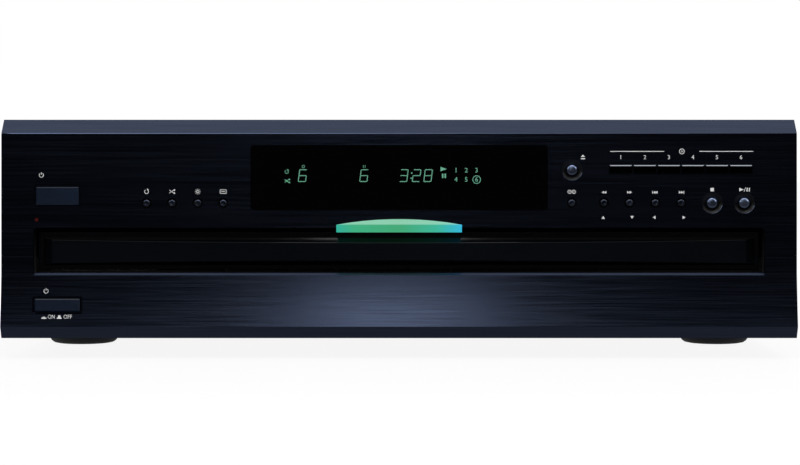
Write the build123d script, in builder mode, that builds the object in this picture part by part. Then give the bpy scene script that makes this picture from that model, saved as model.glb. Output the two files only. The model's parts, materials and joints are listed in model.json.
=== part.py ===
from build123d import *
import math
import os

os.makedirs("parts", exist_ok=True)

# A full-width six-disc player. Millimetres, +Z up, +X right, the front faces -Y.
# The origin is on the ground under the middle of the whole box.

# ---- outer sizes ----
WIDTH = 435.0            # fascia, side to side
DEPTH = 433.0            # fascia lip to the tips of the rear sockets
HEIGHT = 131.0           # ground to the top of the fascia
FOOT_HEIGHT = 11.5       # ground to the lower edge of the fascia
SOCKET_REACH = 9.5       # rear sockets stand this far out of the rear panel
SHEET = 1.0              # chassis, rear panel and cover steel

# ---- fascia section ----
FASCIA_T = 3.0
LIP_REACH = 4.0          # the flared lower part comes this far forward
LIP_Z = 18.0             # height of the foremost line
BEVEL_RISE = 7.5         # height of the top bevel
BEVEL_RUN = 9.0          # how far the top bevel leans back
TOP_RUN = 14.8           # depth of the fascia's top return
FLARE_SAG = 0.35         # hollow of the flared lower part
SLOT_EDGE = 1.2          # chamfer along the slot's lower edge

# ---- drawer slot, window and lens in the fascia ----
SLOT_W = 400.0
SLOT_Z = 47.1            # lower edge of the slot
SLOT_H = 24.7
SLOT_R = 2.0
WINDOW_W = 162.6
WINDOW_H = 35.7
WINDOW_Z = 99.25         # centre height
WINDOW_R = 2.0
LENS_W = 68.5
LENS_DROP = 2.4          # the lens hangs this far into the slot
LENS_END_RISE = 1.5      # lens end above the slot's upper edge
LENS_MID_RISE = 4.6      # lens crown above the slot's upper edge
LENS_PROUD = 2.6
LENS_FACET_Z = 1.8       # the facet starts this far above the slot's upper edge

# ---- controls: (x, z) of each centre ----
STANDBY_AT = (-186.8, 89.2)
STANDBY_SIZE = (23.4, 9.9)
POWER_AT = (-186.6, 29.7)
POWER_SIZE = (24.5, 6.8)
RECESS_RIM = 1.5         # recess margin round the standby and power buttons
RECESS_DEEP = 1.2
LAMP_AT = (-198.2, 76.2)
LAMP_R = 1.0
SMALL_R = 1.9            # small round button
SMALL_HOLE_R = 2.9
LARGE_R = 2.9            # large round button
LARGE_HOLE_R = 3.3
LARGE_DISH_R = 5.8       # dished ring round a large button
DISH_DEEP = 1.8
SMALL_BUTTONS = {
    "repeat_button": (-138.1, 85.3),
    "random_button": (-124.2, 85.3),
    "dimmer_button": (-110.1, 85.3),
    "display_button": (-96.2, 85.3),
    "disc_skip_button": (94.4, 85.4),
    "rewind_button": (112.0, 85.5),
    "forward_button": (126.0, 85.5),
    "previous_button": (140.1, 85.5),
    "next_button": (154.2, 85.5),
}
LARGE_BUTTONS = {
    "eject_button": (94.6, 103.4),
    "stop_button": (171.2, 85.4),
    "play_pause_button": (188.8, 85.4),
}
DISC_BARS = 6
BAR_FIRST_X = 121.2
BAR_PITCH = 13.15
BAR_SIZE = (12.2, 4.6)
BAR_Z = 103.8
BUTTON_GAP = 0.25        # play round a button in its hole
BUTTON_PROUD = 0.7
STANDBY_PROUD = 0.3
POWER_PROUD = 2.6
CAP_EDGE = 0.5           # chamfer round a cap's front
CAP_SIDES = 24           # facets of a round cap and its hole
BUTTON_TRAVEL = 1.0
POWER_TRAVEL = 3.0

# ---- drawer and carousel ----
DRAWER_SIDE = 3.8        # slot wall to drawer front, each side
BOW = 8.0                # the drawer front's bow in plan
NOSE_DEPTH = 15.0        # drawer front, crown to closing flange
NOSE_CORNER = 5.2        # width of each turned-back end
RUNNER_RISE = 1.3        # drawer runner above the slot's lower edge
DRAWER_H = 17.6          # runner to deck
DRAWER_WALL = 2.5
DRAWER_FLOOR_RISE = 7.1  # underside of the drawer floor above the runner
DRAWER_FLOOR_T = 2.0
DECK_T = 1.8
CAROUSEL_R = 188.0
CAROUSEL_T = 4.0
CAROUSEL_RISE = 13.1     # carousel underside above the runner
CAROUSEL_GAP = 1.5       # gap round the carousel
WELLS = 6
WELL_RING_R = 124.5
WELL_R = 60.75
WELL_DEEP = 1.7
INNER_WELL_R = 40.75
INNER_WELL_DEEP = 2.7
WELL_SIDES = 40          # facets of a well's rim
RIM_SIDES = 80           # facets of the carousel's rim
PICKUP_SLOT_W = 42.0
PICKUP_SLOT_END_R = 57.0
THRUST_R = 36.0          # radius of the pads that carry the carousel
POST_R = 8.0
CAP_R = 24.0
CAP_H = 1.8

# ---- feet ----
FOOT_X = 187.0
FOOT_Y = (-100.0, 150.0)
FOOT_R = 21.5
FOOT_TREAD_R = 14.0

# ---- screws ----
SCREW_R = 1.45
SCREW_HOLE = 3.4         # square screw hole
SCREW_HEAD_R = 3.5
SCREW_HEAD_H = 1.7
SIDE_SCREW_Y = (-150.0, 150.0)
REAR_SCREW_X = (-195.0, 0.0, 195.0)

# ---- gears: module and teeth ----
RING_MODULE, RING_TEETH = 3.5, 30
PINION_TEETH = 10
RACK_MODULE = 2.0
RACK_GEAR_TEETH = 15
TRAIN_MODULE = 1.5
WHEEL_TEETH = 26
IDLER_TEETH = 12
LIFT_GEAR_TEETH = 14
SLED_MODULE, SLED_TEETH = 1.0, 16
ADDENDUM = 0.85          # tooth height over the pitch line, in modules
DEDENDUM = 1.15
BACKLASH = 0.10          # tooth thinning, in modules
PRESSURE = math.radians(20)

# ---- travels ----
DRAWER_TRAVEL = 285.0
LIFT = 21.5
CAM_TRAVEL = 32.0
SLED_TRAVEL = 33.0

# ---- fits ----
RUNNING = 0.05           # radial play of a shaft in its hole
CLEAR = 0.4              # play between sliding mouldings

# ---- places worked out from the sizes above ----
Y_LIP = -DEPTH / 2
Y_FACE = Y_LIP + LIP_REACH
Y_BACK = Y_FACE + FASCIA_T           # rear face of the fascia
Y_FRAME = Y_FACE + 15.0              # rear face of the front frame
Y_REAR = DEPTH / 2 - SOCKET_REACH    # outer face of the rear panel
FLOOR_Z = FOOT_HEIGHT + 1.0          # underside of the chassis
SLOT_TOP = SLOT_Z + SLOT_H
BEVEL_Z = HEIGHT - BEVEL_RISE
COVER_HALF = WIDTH / 2 - 2.0
CHASSIS_HALF = COVER_HALF - SHEET - 0.5
RUNNER_Z = SLOT_Z + RUNNER_RISE
DECK_Z = RUNNER_Z + DRAWER_H
DRAWER_HALF = SLOT_W / 2 - DRAWER_SIDE
RUNNER_HALF = DRAWER_HALF + 3.0
DRAWER_FLOOR_Z = RUNNER_Z + DRAWER_FLOOR_RISE
CAROUSEL_Z = RUNNER_Z + CAROUSEL_RISE
CAROUSEL_TOP = CAROUSEL_Z + CAROUSEL_T
INNER_BEVEL = ((Y_BACK, BEVEL_Z - 1.0), (Y_FACE + BEVEL_RUN + 1.2, HEIGHT - FASCIA_T))
Y_NOSE = Y_FACE + 0.5                # crown of the drawer front
Y_FLANGE = Y_NOSE + NOSE_DEPTH       # rear face of the closing flange
Y_CENTRE = Y_FLANGE + 4.3 + CAROUSEL_R   # carousel axis
DRAWER_END = Y_CENTRE + CAROUSEL_R + 5.0
BASE_T = 2.5
BASE_Z = RUNNER_Z - 3.9 - BASE_T     # underside of the mechanism base plate
BASE_TOP = BASE_Z + BASE_T
RAIL_Z = RUNNER_Z - 0.2
PLAY_Y = Y_CENTRE + WELL_RING_R      # disc axis at the playing position
TRAVERSE_Z = RUNNER_Z - 12.4         # top of the lowered traverse deck
TRAVERSE_T = 3.0
TRAVERSE_HALF = 46.0
BRIDGE_Z = DECK_Z + 8.0
MOTOR_R = 12.0
SIDE_SCREW_Z = FLOOR_Z + 18.0
REAR_SCREW_Z = BEVEL_Z - 1.5


def face_at(y):
    """A plane facing the front at depth y, with local axes along X and Z."""
    return Plane(origin=(0, y, 0), x_dir=(1, 0, 0), z_dir=(0, -1, 0))


def level(z):
    return Plane.XY.offset(z)


def save(builder, name):
    builder.part.label = name
    export_step(builder.part, f"parts/{name}.step")


def block(x, y, z, mode=Mode.ADD):
    """A box between three (low, high) pairs, added to the open part."""
    with BuildSketch(level(z[0])) as profile:
        with Locations(((x[0] + x[1]) / 2, (y[0] + y[1]) / 2)):
            Rectangle(x[1] - x[0], y[1] - y[0])
    extrude(profile.sketch, amount=z[1] - z[0], mode=mode)


def disc(x, y, z, radius, mode=Mode.ADD):
    """An upright cylinder from z[0] to z[1], added to the open part."""
    with BuildSketch(level(z[0])) as profile:
        with Locations((x, y)):
            Circle(radius)
    extrude(profile.sketch, amount=z[1] - z[0], mode=mode)


def prism(x, y, z, radius, sides, mode=Mode.ADD, taper=0.0):
    """An upright many-sided column from z[0] to z[1], added to the open part."""
    with BuildSketch(level(z[0])) as profile:
        with Locations((x, y)):
            RegularPolygon(radius, sides)
    extrude(profile.sketch, amount=z[1] - z[0], taper=taper, mode=mode)


def front_hole(x, z, radius, y, depth, sides=0):
    """A hole cut rearwards from depth y, round or with a number of sides."""
    with BuildSketch(face_at(y)) as profile:
        with Locations((x, z)):
            if sides:
                RegularPolygon(radius, sides)
            else:
                Circle(radius)
    extrude(profile.sketch, amount=-depth, mode=Mode.SUBTRACT)


def front_pocket(x, z, width, height, radius, y, depth, mode=Mode.SUBTRACT):
    """A rectangle, rounded where radius isn't 0, cut (or added) rearwards from depth y."""
    with BuildSketch(face_at(y)) as profile:
        with Locations((x, z)):
            if radius:
                RectangleRounded(width, height, radius)
            else:
                Rectangle(width, height)
    extrude(profile.sketch, amount=-depth, mode=mode)


def involute(angle):
    return math.tan(angle) - angle


def gear_points(teeth, module, tooth_at=0.0):
    """A straight-flanked gear outline; one tooth is centred on the angle tooth_at (degrees)."""
    pitch_r = teeth * module / 2
    base_r = pitch_r * math.cos(PRESSURE)
    tip_r = pitch_r + ADDENDUM * module
    root_r = pitch_r - DEDENDUM * module
    half = (math.pi * module / 4 - BACKLASH * module) / pitch_r

    def half_angle(radius):
        if radius <= base_r:
            return half + involute(PRESSURE)
        return half + involute(PRESSURE) - involute(math.acos(base_r / radius))

    points = []
    for i in range(teeth):
        middle = math.radians(tooth_at) + 2 * math.pi * i / teeth
        corners = ((root_r, -half_angle(root_r)), (tip_r, -half_angle(tip_r)),
                   (tip_r, half_angle(tip_r)), (root_r, half_angle(root_r)))
        for radius, turn in corners:
            points.append((radius * math.cos(middle + turn), radius * math.sin(middle + turn)))
    return points


def rack_points(length, module, base, tooth_at=0.0):
    """A rack outline: teeth point to local +Y from the pitch line y = 0, the back is at y = -base.

    It starts at x = 0, and one tooth is centred on x = tooth_at."""
    pitch = math.pi * module
    half = pitch / 4 - BACKLASH * module
    tip = half - ADDENDUM * module * math.tan(PRESSURE)
    root = half + DEDENDUM * module * math.tan(PRESSURE)
    first = math.ceil((root - tooth_at) / pitch)
    last = math.floor((length - root - tooth_at) / pitch)
    points = [(0, -base), (0, -DEDENDUM * module)]
    for i in range(first, last + 1):
        x = tooth_at + i * pitch
        points += [(x - root, -DEDENDUM * module), (x - tip, ADDENDUM * module),
                   (x + tip, ADDENDUM * module), (x + root, -DEDENDUM * module)]
    return points + [(length, -DEDENDUM * module), (length, -base)]


def gear(x, y, z, teeth, module, tooth_at=0.0):
    """A gear wheel from z[0] to z[1], added to the open part."""
    with BuildSketch(Plane(origin=(x, y, z[0]))) as profile:
        with BuildLine():
            Polyline(*gear_points(teeth, module, tooth_at), close=True)
        make_face()
    extrude(profile.sketch, amount=z[1] - z[0])


# =====================================================================
# Casing
# =====================================================================

def lens_outline(grow):
    """The lens seen from the front, grown all round by grow; its foot is in the slot."""
    half = LENS_W / 2 + grow
    foot = SLOT_TOP - LENS_DROP - grow
    end = SLOT_TOP + LENS_END_RISE + grow
    crown = SLOT_TOP + LENS_MID_RISE + grow
    with BuildLine() as edge:
        Polyline((-half, end), (-half, foot), (half, foot), (half, end))
        ThreePointArc((half, end), (0, crown), (-half, end))
    make_face(edge.edges())


# Fascia: one extruded section, then the slot, window, lens notch and control holes.
with BuildPart() as front_panel:
    with BuildSketch(Plane.YZ):
        with BuildLine():
            Polyline((Y_FACE + BEVEL_RUN, HEIGHT), (Y_FACE, BEVEL_Z), (Y_FACE, SLOT_Z - 0.3))
            ThreePointArc(
                (Y_FACE, SLOT_Z - 0.3),
                (Y_FACE - LIP_REACH / 2 + FLARE_SAG, (SLOT_Z - 0.3 + LIP_Z) / 2),
                (Y_LIP, LIP_Z),
            )
            Polyline((Y_LIP, LIP_Z), (Y_FACE, FOOT_HEIGHT), (Y_BACK, FOOT_HEIGHT), INNER_BEVEL[0],
                     INNER_BEVEL[1],
                     (Y_FACE + TOP_RUN, HEIGHT - FASCIA_T), (Y_FACE + TOP_RUN, HEIGHT),
                     (Y_FACE + BEVEL_RUN, HEIGHT))
        make_face()
    extrude(amount=WIDTH / 2, both=True)
    front_pocket(0, SLOT_Z + SLOT_H / 2, SLOT_W, SLOT_H, SLOT_R, Y_LIP, 20)
    front_pocket(0, WINDOW_Z, WINDOW_W, WINDOW_H, WINDOW_R, Y_LIP, 10)
    with BuildSketch(face_at(Y_LIP)):
        lens_outline(0.15)
    extrude(amount=-10, mode=Mode.SUBTRACT)
    for (x, z), (width, height) in ((STANDBY_AT, STANDBY_SIZE), (POWER_AT, POWER_SIZE)):
        front_pocket(x, z, width + 2 * RECESS_RIM, height + 2 * RECESS_RIM, 1.2,
                     Y_LIP - 1, LIP_REACH + 1 + RECESS_DEEP)
        front_pocket(x, z, width + 2 * BUTTON_GAP, height + 2 * BUTTON_GAP, 0, Y_FACE, 10)
    front_hole(*LAMP_AT, LAMP_R + 0.1, Y_LIP, 10, 12)
    for x, z in SMALL_BUTTONS.values():
        front_hole(x, z, SMALL_HOLE_R, Y_LIP, 10, CAP_SIDES)
    for x, z in LARGE_BUTTONS.values():
        for radius, y in ((LARGE_DISH_R, Y_FACE), (LARGE_HOLE_R, Y_FACE + DISH_DEEP)):
            with BuildSketch(face_at(y)):
                with Locations((x, z)):
                    RegularPolygon(radius, CAP_SIDES)
        loft(mode=Mode.SUBTRACT)
        front_hole(x, z, LARGE_HOLE_R, Y_LIP, 10, CAP_SIDES)
    for i in range(DISC_BARS):
        front_pocket(BAR_FIRST_X + i * BAR_PITCH, BAR_Z, BAR_SIZE[0] + 2 * BUTTON_GAP,
                     BAR_SIZE[1] + 2 * BUTTON_GAP, 0, Y_LIP, 10)
    # chamfer along the slot's lower edge
    with BuildSketch(Plane.YZ):
        with BuildLine():
            Polyline((Y_FACE - 0.5, SLOT_Z - SLOT_EDGE), (Y_FACE, SLOT_Z - SLOT_EDGE),
                     (Y_FACE + SLOT_EDGE, SLOT_Z), (Y_FACE + SLOT_EDGE, SLOT_Z + 1),
                     (Y_FACE - 0.5, SLOT_Z + 1), close=True)
        make_face()
    extrude(amount=SLOT_W / 2, both=True, mode=Mode.SUBTRACT)
save(front_panel, "front_panel")

# Window: a smoked plate let into the fascia, with a rear flange.
with BuildPart() as display_window:
    front_pocket(0, WINDOW_Z, WINDOW_W - 0.2, WINDOW_H - 0.2, WINDOW_R, Y_FACE + 1.0,
                 FASCIA_T - 1.0, mode=Mode.ADD)
    front_pocket(0, WINDOW_Z, WINDOW_W + 5, WINDOW_H + 5, 0, Y_BACK, 0.9, mode=Mode.ADD)
save(display_window, "display_window")

# Lens: an arched bar with a facet that slopes back to its crown, and a thin foot behind.
with BuildPart() as slot_lens:
    with BuildSketch(face_at(Y_FACE - LENS_PROUD)):
        lens_outline(0)
    extrude(amount=-(LENS_PROUD + FASCIA_T))
    with BuildSketch(Plane.YZ):
        with BuildLine():
            Polyline((Y_FACE - LENS_PROUD, SLOT_TOP + LENS_FACET_Z),
                     (Y_FACE - LENS_PROUD, SLOT_TOP + LENS_MID_RISE + 1),
                     (Y_FACE - 0.4, SLOT_TOP + LENS_MID_RISE + 1),
                     (Y_FACE - 0.4, SLOT_TOP + LENS_MID_RISE - 0.4), close=True)
        make_face()
    extrude(amount=LENS_W, both=True, mode=Mode.SUBTRACT)
    block((-LENS_W / 2 - 3, LENS_W / 2 + 3), (Y_BACK, Y_BACK + 1.2), (SLOT_TOP + 0.3, SLOT_TOP + 6))
save(slot_lens, "slot_lens")

# Front frame: a moulded tray behind the fascia, with a tunnel for the drawer.
FRAME_WALL = 2.5
FRAME_Z = (FOOT_HEIGHT + 0.5, HEIGHT - FASCIA_T - 0.05)
BOARD_Y = Y_BACK + 5.6           # front face of the front board
BOARD_T = 1.6
with BuildPart() as front_frame:
    frame_depth = (Y_BACK + 0.05, Y_FRAME)
    block((-WIDTH / 2 + 1, WIDTH / 2 - 1), frame_depth, FRAME_Z)
    # the upper edge follows the inside of the fascia's bevel
    (low_y, low_z), (high_y, high_z) = INNER_BEVEL
    lean = (high_z - low_z) / (high_y - low_y)
    with BuildSketch(Plane.YZ):
        with BuildLine():
            Polyline((low_y - 1, low_z - 1.2 * lean), (low_y - 1, HEIGHT),
                     (high_y + 0.2 + FASCIA_T / lean, HEIGHT), close=True)
        make_face()
    extrude(amount=WIDTH, both=True, mode=Mode.SUBTRACT)
    chambers = (
        (SLOT_TOP + FRAME_WALL, BEVEL_Z - 3.5),
        (FRAME_Z[0] + FRAME_WALL, SLOT_Z - FRAME_WALL),
    )
    for low, high in chambers:
        block((-WIDTH / 2 + 1 + FRAME_WALL, WIDTH / 2 - 1 - FRAME_WALL),
              (Y_BACK, Y_FRAME - 2), (low, high), mode=Mode.SUBTRACT)
        for side in (-1, 1):
            front_pocket(side * 105, (low + high) / 2, 120, high - low - 12, 0, Y_FRAME - 4, 10)
    # posts that the front board is screwed to
    for x in (-200, 200):
        for z in (SLOT_TOP + 10, BEVEL_Z - 10):
            block((x - 3, x + 3), (BOARD_Y + BOARD_T, Y_FRAME - 2), (z - 3, z + 3))
    front_pocket(0, SLOT_Z + SLOT_H / 2, SLOT_W + 0.6, SLOT_H + 0.6, SLOT_R, Y_LIP, 30)
    with BuildSketch(face_at(Y_BACK - 1)):
        with Locations((0, SLOT_TOP)):
            Rectangle(LENS_W + 8, 14)
    extrude(amount=-4.5, mode=Mode.SUBTRACT)
save(front_frame, "front_frame")

# Chassis pan: folded steel with low side walls, a front upstand and slots under the boards.
CHASSIS_SIDE = 26.0
BOARD_Z = FLOOR_Z + 5.5          # underside of the main and power boards
Y_CHASSIS = Y_FRAME + 0.5
with BuildPart() as chassis:
    block((-CHASSIS_HALF, CHASSIS_HALF), (Y_CHASSIS, Y_REAR - SHEET), (FLOOR_Z, FLOOR_Z + CHASSIS_SIDE))
    block((-CHASSIS_HALF + SHEET, CHASSIS_HALF - SHEET), (Y_CHASSIS + SHEET, Y_REAR),
          (FLOOR_Z + SHEET, FLOOR_Z + CHASSIS_SIDE), mode=Mode.SUBTRACT)
    with BuildSketch(level(FLOOR_Z)):
        for side in (-1, 1):
            with Locations((side * 130, 115)):
                with GridLocations(14, 60, 6, 2):
                    Rectangle(4, 44)
    extrude(amount=SHEET, mode=Mode.SUBTRACT)
    for x, y in ((76, 62), (170, 62), (76, 195), (170, 195), (-172, 68), (-76, 68), (-76, 195)):
        prism(x, y, (FLOOR_Z + SHEET, BOARD_Z), 2.9, 6)
    with BuildSketch(Plane.YZ.offset(-CHASSIS_HALF - 1)):
        with Locations([(y, SIDE_SCREW_Z) for y in SIDE_SCREW_Y]):
            Rectangle(SCREW_HOLE, SCREW_HOLE)
    extrude(amount=2 * CHASSIS_HALF + 2, mode=Mode.SUBTRACT)
save(chassis, "chassis")

# Sockets on the rear panel: (x, z) of each centre.
AUDIO_AT = ((152.0, 41.0), (152.0, 25.0))
COAX_AT = (122.0, 33.0)
OPTICAL_AT = (98.0, 33.0)
REMOTE_AT = ((68.0, 40.0), (68.0, 26.0))
INLET_AT = (-160.0, 34.0)
INLET_SIZE = (24.0, 14.0)
PHONO_R = 4.1            # phono sleeve
PHONO_FLANGE_R = 6.0
JACK_R = 1.8             # bore of a 3.5 mm jack

with BuildPart() as rear_panel:
    panel_y = (Y_REAR - SHEET, Y_REAR)
    block((-CHASSIS_HALF, CHASSIS_HALF), panel_y, (FLOOR_Z + SHEET + 0.2, BEVEL_Z + 3.5))
    block((-CHASSIS_HALF, CHASSIS_HALF), (Y_REAR - 9, Y_REAR - SHEET), (BEVEL_Z + 2.5, BEVEL_Z + 3.5))
    for x, z in (*AUDIO_AT, COAX_AT):
        front_hole(x, z, PHONO_FLANGE_R + 0.2, Y_REAR - SHEET - 1, 5, 20)
    for x, z in REMOTE_AT:
        front_hole(x, z, 3.7, Y_REAR - SHEET - 1, 5, 16)
    front_pocket(*OPTICAL_AT, 10.4, 10.4, 0, Y_REAR - SHEET - 1, 5)
    front_pocket(*INLET_AT, INLET_SIZE[0] + 0.4, INLET_SIZE[1] + 0.4, 0, Y_REAR - SHEET - 1, 5)
    for x in REAR_SCREW_X:
        front_pocket(x, REAR_SCREW_Z, SCREW_HOLE, SCREW_HOLE, 0, Y_REAR - SHEET - 1, 5)
save(rear_panel, "rear_panel")

# Top cover: a folded U that laps the rear panel.
COVER_Z = HEIGHT - 1.2
Y_COVER = Y_FRAME + 0.3
Y_COVER_END = Y_REAR + SHEET + 0.2
with BuildPart() as top_cover:
    block((-COVER_HALF, COVER_HALF), (Y_COVER, Y_COVER_END), (FLOOR_Z + 1, COVER_Z))
    fillet(top_cover.edges().filter_by(Axis.Y).group_by(Axis.Z)[-1], 1.5)
    block((-COVER_HALF + SHEET, COVER_HALF - SHEET), (Y_COVER - 1, Y_COVER_END + 1),
          (FLOOR_Z, COVER_Z - SHEET), mode=Mode.SUBTRACT)
    with BuildSketch(face_at(Y_COVER_END)):
        with Locations((0, COVER_Z - 5)):
            Rectangle(2 * COVER_HALF - 2, 10)
    extrude(amount=SHEET)
    with BuildSketch(Plane.YZ.offset(-COVER_HALF - 1)):
        with Locations([(y, SIDE_SCREW_Z) for y in SIDE_SCREW_Y]):
            Rectangle(SCREW_HOLE, SCREW_HOLE)
    extrude(amount=2 * COVER_HALF + 2, mode=Mode.SUBTRACT)
    for x in REAR_SCREW_X:
        front_pocket(x, REAR_SCREW_Z, SCREW_HOLE, SCREW_HOLE, 0, Y_REAR, 5)
save(top_cover, "top_cover")

# Cover screws: flat heads with plain shanks, four at the sides and three behind.
SCREW_SEATS = [Plane(origin=(side * COVER_HALF, y, SIDE_SCREW_Z), z_dir=(side, 0, 0))
               for side in (-1, 1) for y in SIDE_SCREW_Y]
SCREW_SEATS += [Plane(origin=(x, Y_COVER_END, REAR_SCREW_Z), z_dir=(0, 1, 0)) for x in REAR_SCREW_X]
with BuildPart() as cover_screws:
    for seat in SCREW_SEATS:
        with BuildSketch(seat):
            RegularPolygon(SCREW_HEAD_R, 12)
        extrude(amount=SCREW_HEAD_H)
        with BuildSketch(seat):
            RegularPolygon(SCREW_R, 6)
        extrude(amount=-7)
save(cover_screws, "cover_screws")

# Feet: short cones, screwed under the chassis.
with BuildPart() as feet:
    for side in (-1, 1):
        for y in FOOT_Y:
            for z, radius in ((0, FOOT_TREAD_R), (FLOOR_Z, FOOT_R)):
                with BuildSketch(level(z)):
                    with Locations((side * FOOT_X, y)):
                        RegularPolygon(radius, 32)
            loft()
save(feet, "feet")

# =====================================================================
# Display, front board, boards, transformer and sockets
# =====================================================================

with BuildPart() as display_tube:
    block((-74, 74), (Y_BACK + 1.3, BOARD_Y), (WINDOW_Z - 14, WINDOW_Z + 14))
    block((-70, 70), (Y_BACK + 2.4, Y_BACK + 3.6), (WINDOW_Z - 18, WINDOW_Z - 14))
save(display_tube, "display_tube")

KEY_AT = {**SMALL_BUTTONS, **LARGE_BUTTONS, "standby": STANDBY_AT}
with BuildPart() as front_board:
    block((-205, 205), (BOARD_Y, BOARD_Y + BOARD_T), (SLOT_TOP + 4, BEVEL_Z - 5))
    for x, z in KEY_AT.values():
        block((x - 3, x + 3), (BOARD_Y - 2.4, BOARD_Y), (z - 3, z + 3))
    for i in range(DISC_BARS):
        x = BAR_FIRST_X + i * BAR_PITCH
        block((x - 3, x + 3), (BOARD_Y - 2.4, BOARD_Y), (BAR_Z - 2.5, BAR_Z + 2.5))
    block((POWER_AT[0] - 7, POWER_AT[0] + 7), (Y_BACK + 6.6, Y_FRAME - 2),
          (POWER_AT[1] - 6, POWER_AT[1] + 6))
save(front_board, "front_board")

with BuildPart() as standby_lamp:
    with BuildSketch(face_at(Y_FACE - 0.2)):
        with Locations(LAMP_AT):
            Circle(LAMP_R)
    extrude(amount=-5)
    block((LAMP_AT[0] - 2, LAMP_AT[0] + 2), (Y_BACK + 1.5, BOARD_Y), (LAMP_AT[1] - 1.5, LAMP_AT[1] + 1.5))
save(standby_lamp, "standby_lamp")

with BuildPart() as main_board:
    top = BOARD_Z + BOARD_T
    block((60, 178), (54, Y_REAR - SHEET - 1), (BOARD_Z, top))
    block((-178, -66), (60, Y_REAR - SHEET - 1), (BOARD_Z, top))
    block((80, 100), (90, 110), (top, top + 2.5))
    block((120, 134), (70, 84), (top, top + 2))
    block((-120, -112), (90, 150), (top, top + 20))
    for x, y, radius, tall in ((75, 60, 5, 14), (90, 60, 5, 14), (140, 120, 4, 11), (150, 60, 4, 11),
                               (-95, 130, 9, 21), (-95, 105, 9, 21), (-135, 160, 5, 14)):
        prism(x, y, (top, top + tall), radius, 12)
save(main_board, "main_board")

with BuildPart() as transformer:
    core_z = (FLOOR_Z + SHEET, FLOOR_Z + SHEET + 27)
    block((-165, -105), (-20, 30), core_z)
    block((-154, -116), (-30, -20), (core_z[0] + 3, core_z[1] - 3))
    block((-154, -116), (30, 40), (core_z[0] + 3, core_z[1] - 3))
    block((-175, -95), (-4, 14), (core_z[0], core_z[0] + 1.5))
save(transformer, "transformer")

with BuildPart() as rear_sockets:
    inner = Y_REAR - SHEET - 0.1
    block((AUDIO_AT[0][0] - 8, AUDIO_AT[0][0] + 8), (inner - 11, inner), (BOARD_Z + BOARD_T, 49))
    block((COAX_AT[0] - 7, COAX_AT[0] + 7), (inner - 11, inner), (BOARD_Z + BOARD_T, 42))
    for x, z in (*AUDIO_AT, COAX_AT):
        with BuildSketch(face_at(inner)):
            with Locations((x, z)):
                RegularPolygon(PHONO_FLANGE_R, 20)
        extrude(amount=-(SHEET + 1.4))
    block((REMOTE_AT[0][0] - 5, REMOTE_AT[0][0] + 5), (inner - 12, inner), (BOARD_Z + BOARD_T, 46))
    for x, z in REMOTE_AT:
        with BuildSketch(face_at(inner)):
            with Locations((x, z)):
                RegularPolygon(3.5, 16)
        extrude(amount=-(SHEET + 2.0))
        front_hole(x, z, JACK_R, inner - 11, 20)
    block((OPTICAL_AT[0] - 5, OPTICAL_AT[0] + 5), (inner - 10, Y_REAR + 1.6),
          (OPTICAL_AT[1] - 5, OPTICAL_AT[1] + 5))
    block((OPTICAL_AT[0] - 5, OPTICAL_AT[0] + 5), (inner - 10, inner), (BOARD_Z + BOARD_T, OPTICAL_AT[1] - 5))
    front_pocket(*INLET_AT, *INLET_SIZE, 0, Y_REAR - 18, 19.5, mode=Mode.ADD)
    with BuildSketch(face_at(Y_REAR - 12)):
        with Locations(INLET_AT):
            Rectangle(17.2, 8.2)
        chamfer(vertices(), 2.2)
    extrude(amount=-20, mode=Mode.SUBTRACT)
save(rear_sockets, "rear_sockets")

PIN_PITCH = 8.6          # mains inlet pins
with BuildPart() as socket_contacts:
    for x, z in (*AUDIO_AT, COAX_AT):
        start = Y_REAR + 1.3
        with BuildSketch(face_at(start)):
            with Locations((x, z)):
                Circle(PHONO_R)
                RegularPolygon(PHONO_R - 0.7, 16, mode=Mode.SUBTRACT)
        extrude(amount=start - DEPTH / 2)
    for side in (-1, 1):
        with BuildSketch(face_at(Y_REAR - 12)):
            with Locations((INLET_AT[0] + side * PIN_PITCH / 2, INLET_AT[1])):
                RegularPolygon(1.2, 10)
        extrude(amount=-11)
save(socket_contacts, "socket_contacts")

# =====================================================================
# Mechanism base, clamp bridge and the drive motors
# =====================================================================

DRIVE_GEAR_R = RACK_MODULE * RACK_GEAR_TEETH / 2
RACK_PITCH_X = -(DRAWER_HALF - DRAWER_WALL - 3.5)
DRIVE_AT = (RACK_PITCH_X + DRIVE_GEAR_R, Y_FLANGE + 25.0)
IDLER_DISTANCE = TRAIN_MODULE * (WHEEL_TEETH + IDLER_TEETH) / 2
IDLER_AT = (DRIVE_AT[0] + IDLER_DISTANCE, DRIVE_AT[1])
MOTOR_AT = (IDLER_AT[0] + 50.0, DRIVE_AT[1])
PULLEY_R = 10.0
MOTOR_PULLEY_R = 3.6
BELT_T = 1.2
BELT_Z = (RUNNER_Z + 1.6, RUNNER_Z + 3.0)
LIFT_GEAR_R = TRAIN_MODULE * LIFT_GEAR_TEETH / 2
CAM_Y = PLAY_Y - 75.0            # front face of the cam plate
CAM_T = 2.0
CAM_RACK_Y = CAM_Y - 2.6         # pitch line of the cam's rack
LIFT_GEAR_AT = (20.0, CAM_RACK_Y - LIFT_GEAR_R)
CAM_X = (-72.0, 34.0)
CAM_Z = (FLOOR_Z + SHEET + 2.0, RUNNER_Z - 1.6)
PIN_X = 25.0
PIN_R = 2.0
PIN_Z = CAM_Z[0] + 5.5
DECK_Y = (CAM_Y + CAM_T + 3.5, PLAY_Y + 32.5)   # traverse deck, front and rear
TAB_Y = (PLAY_Y - 9.5, PLAY_Y - 1.5)
TAB_HALF = TRAVERSE_HALF + 3.5
WINDOW_HALF = TRAVERSE_HALF + 6.0
GUIDE_WALL = 5.0
BRIDGE_T = 1.2
BRIDGE_Y = (PLAY_Y - 27, PLAY_Y + 27)
BRIDGE_X = 205.0
BASE_HALF = CHASSIS_HALF - 2.0
RAIL_IN = DRAWER_HALF + 0.6

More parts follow.
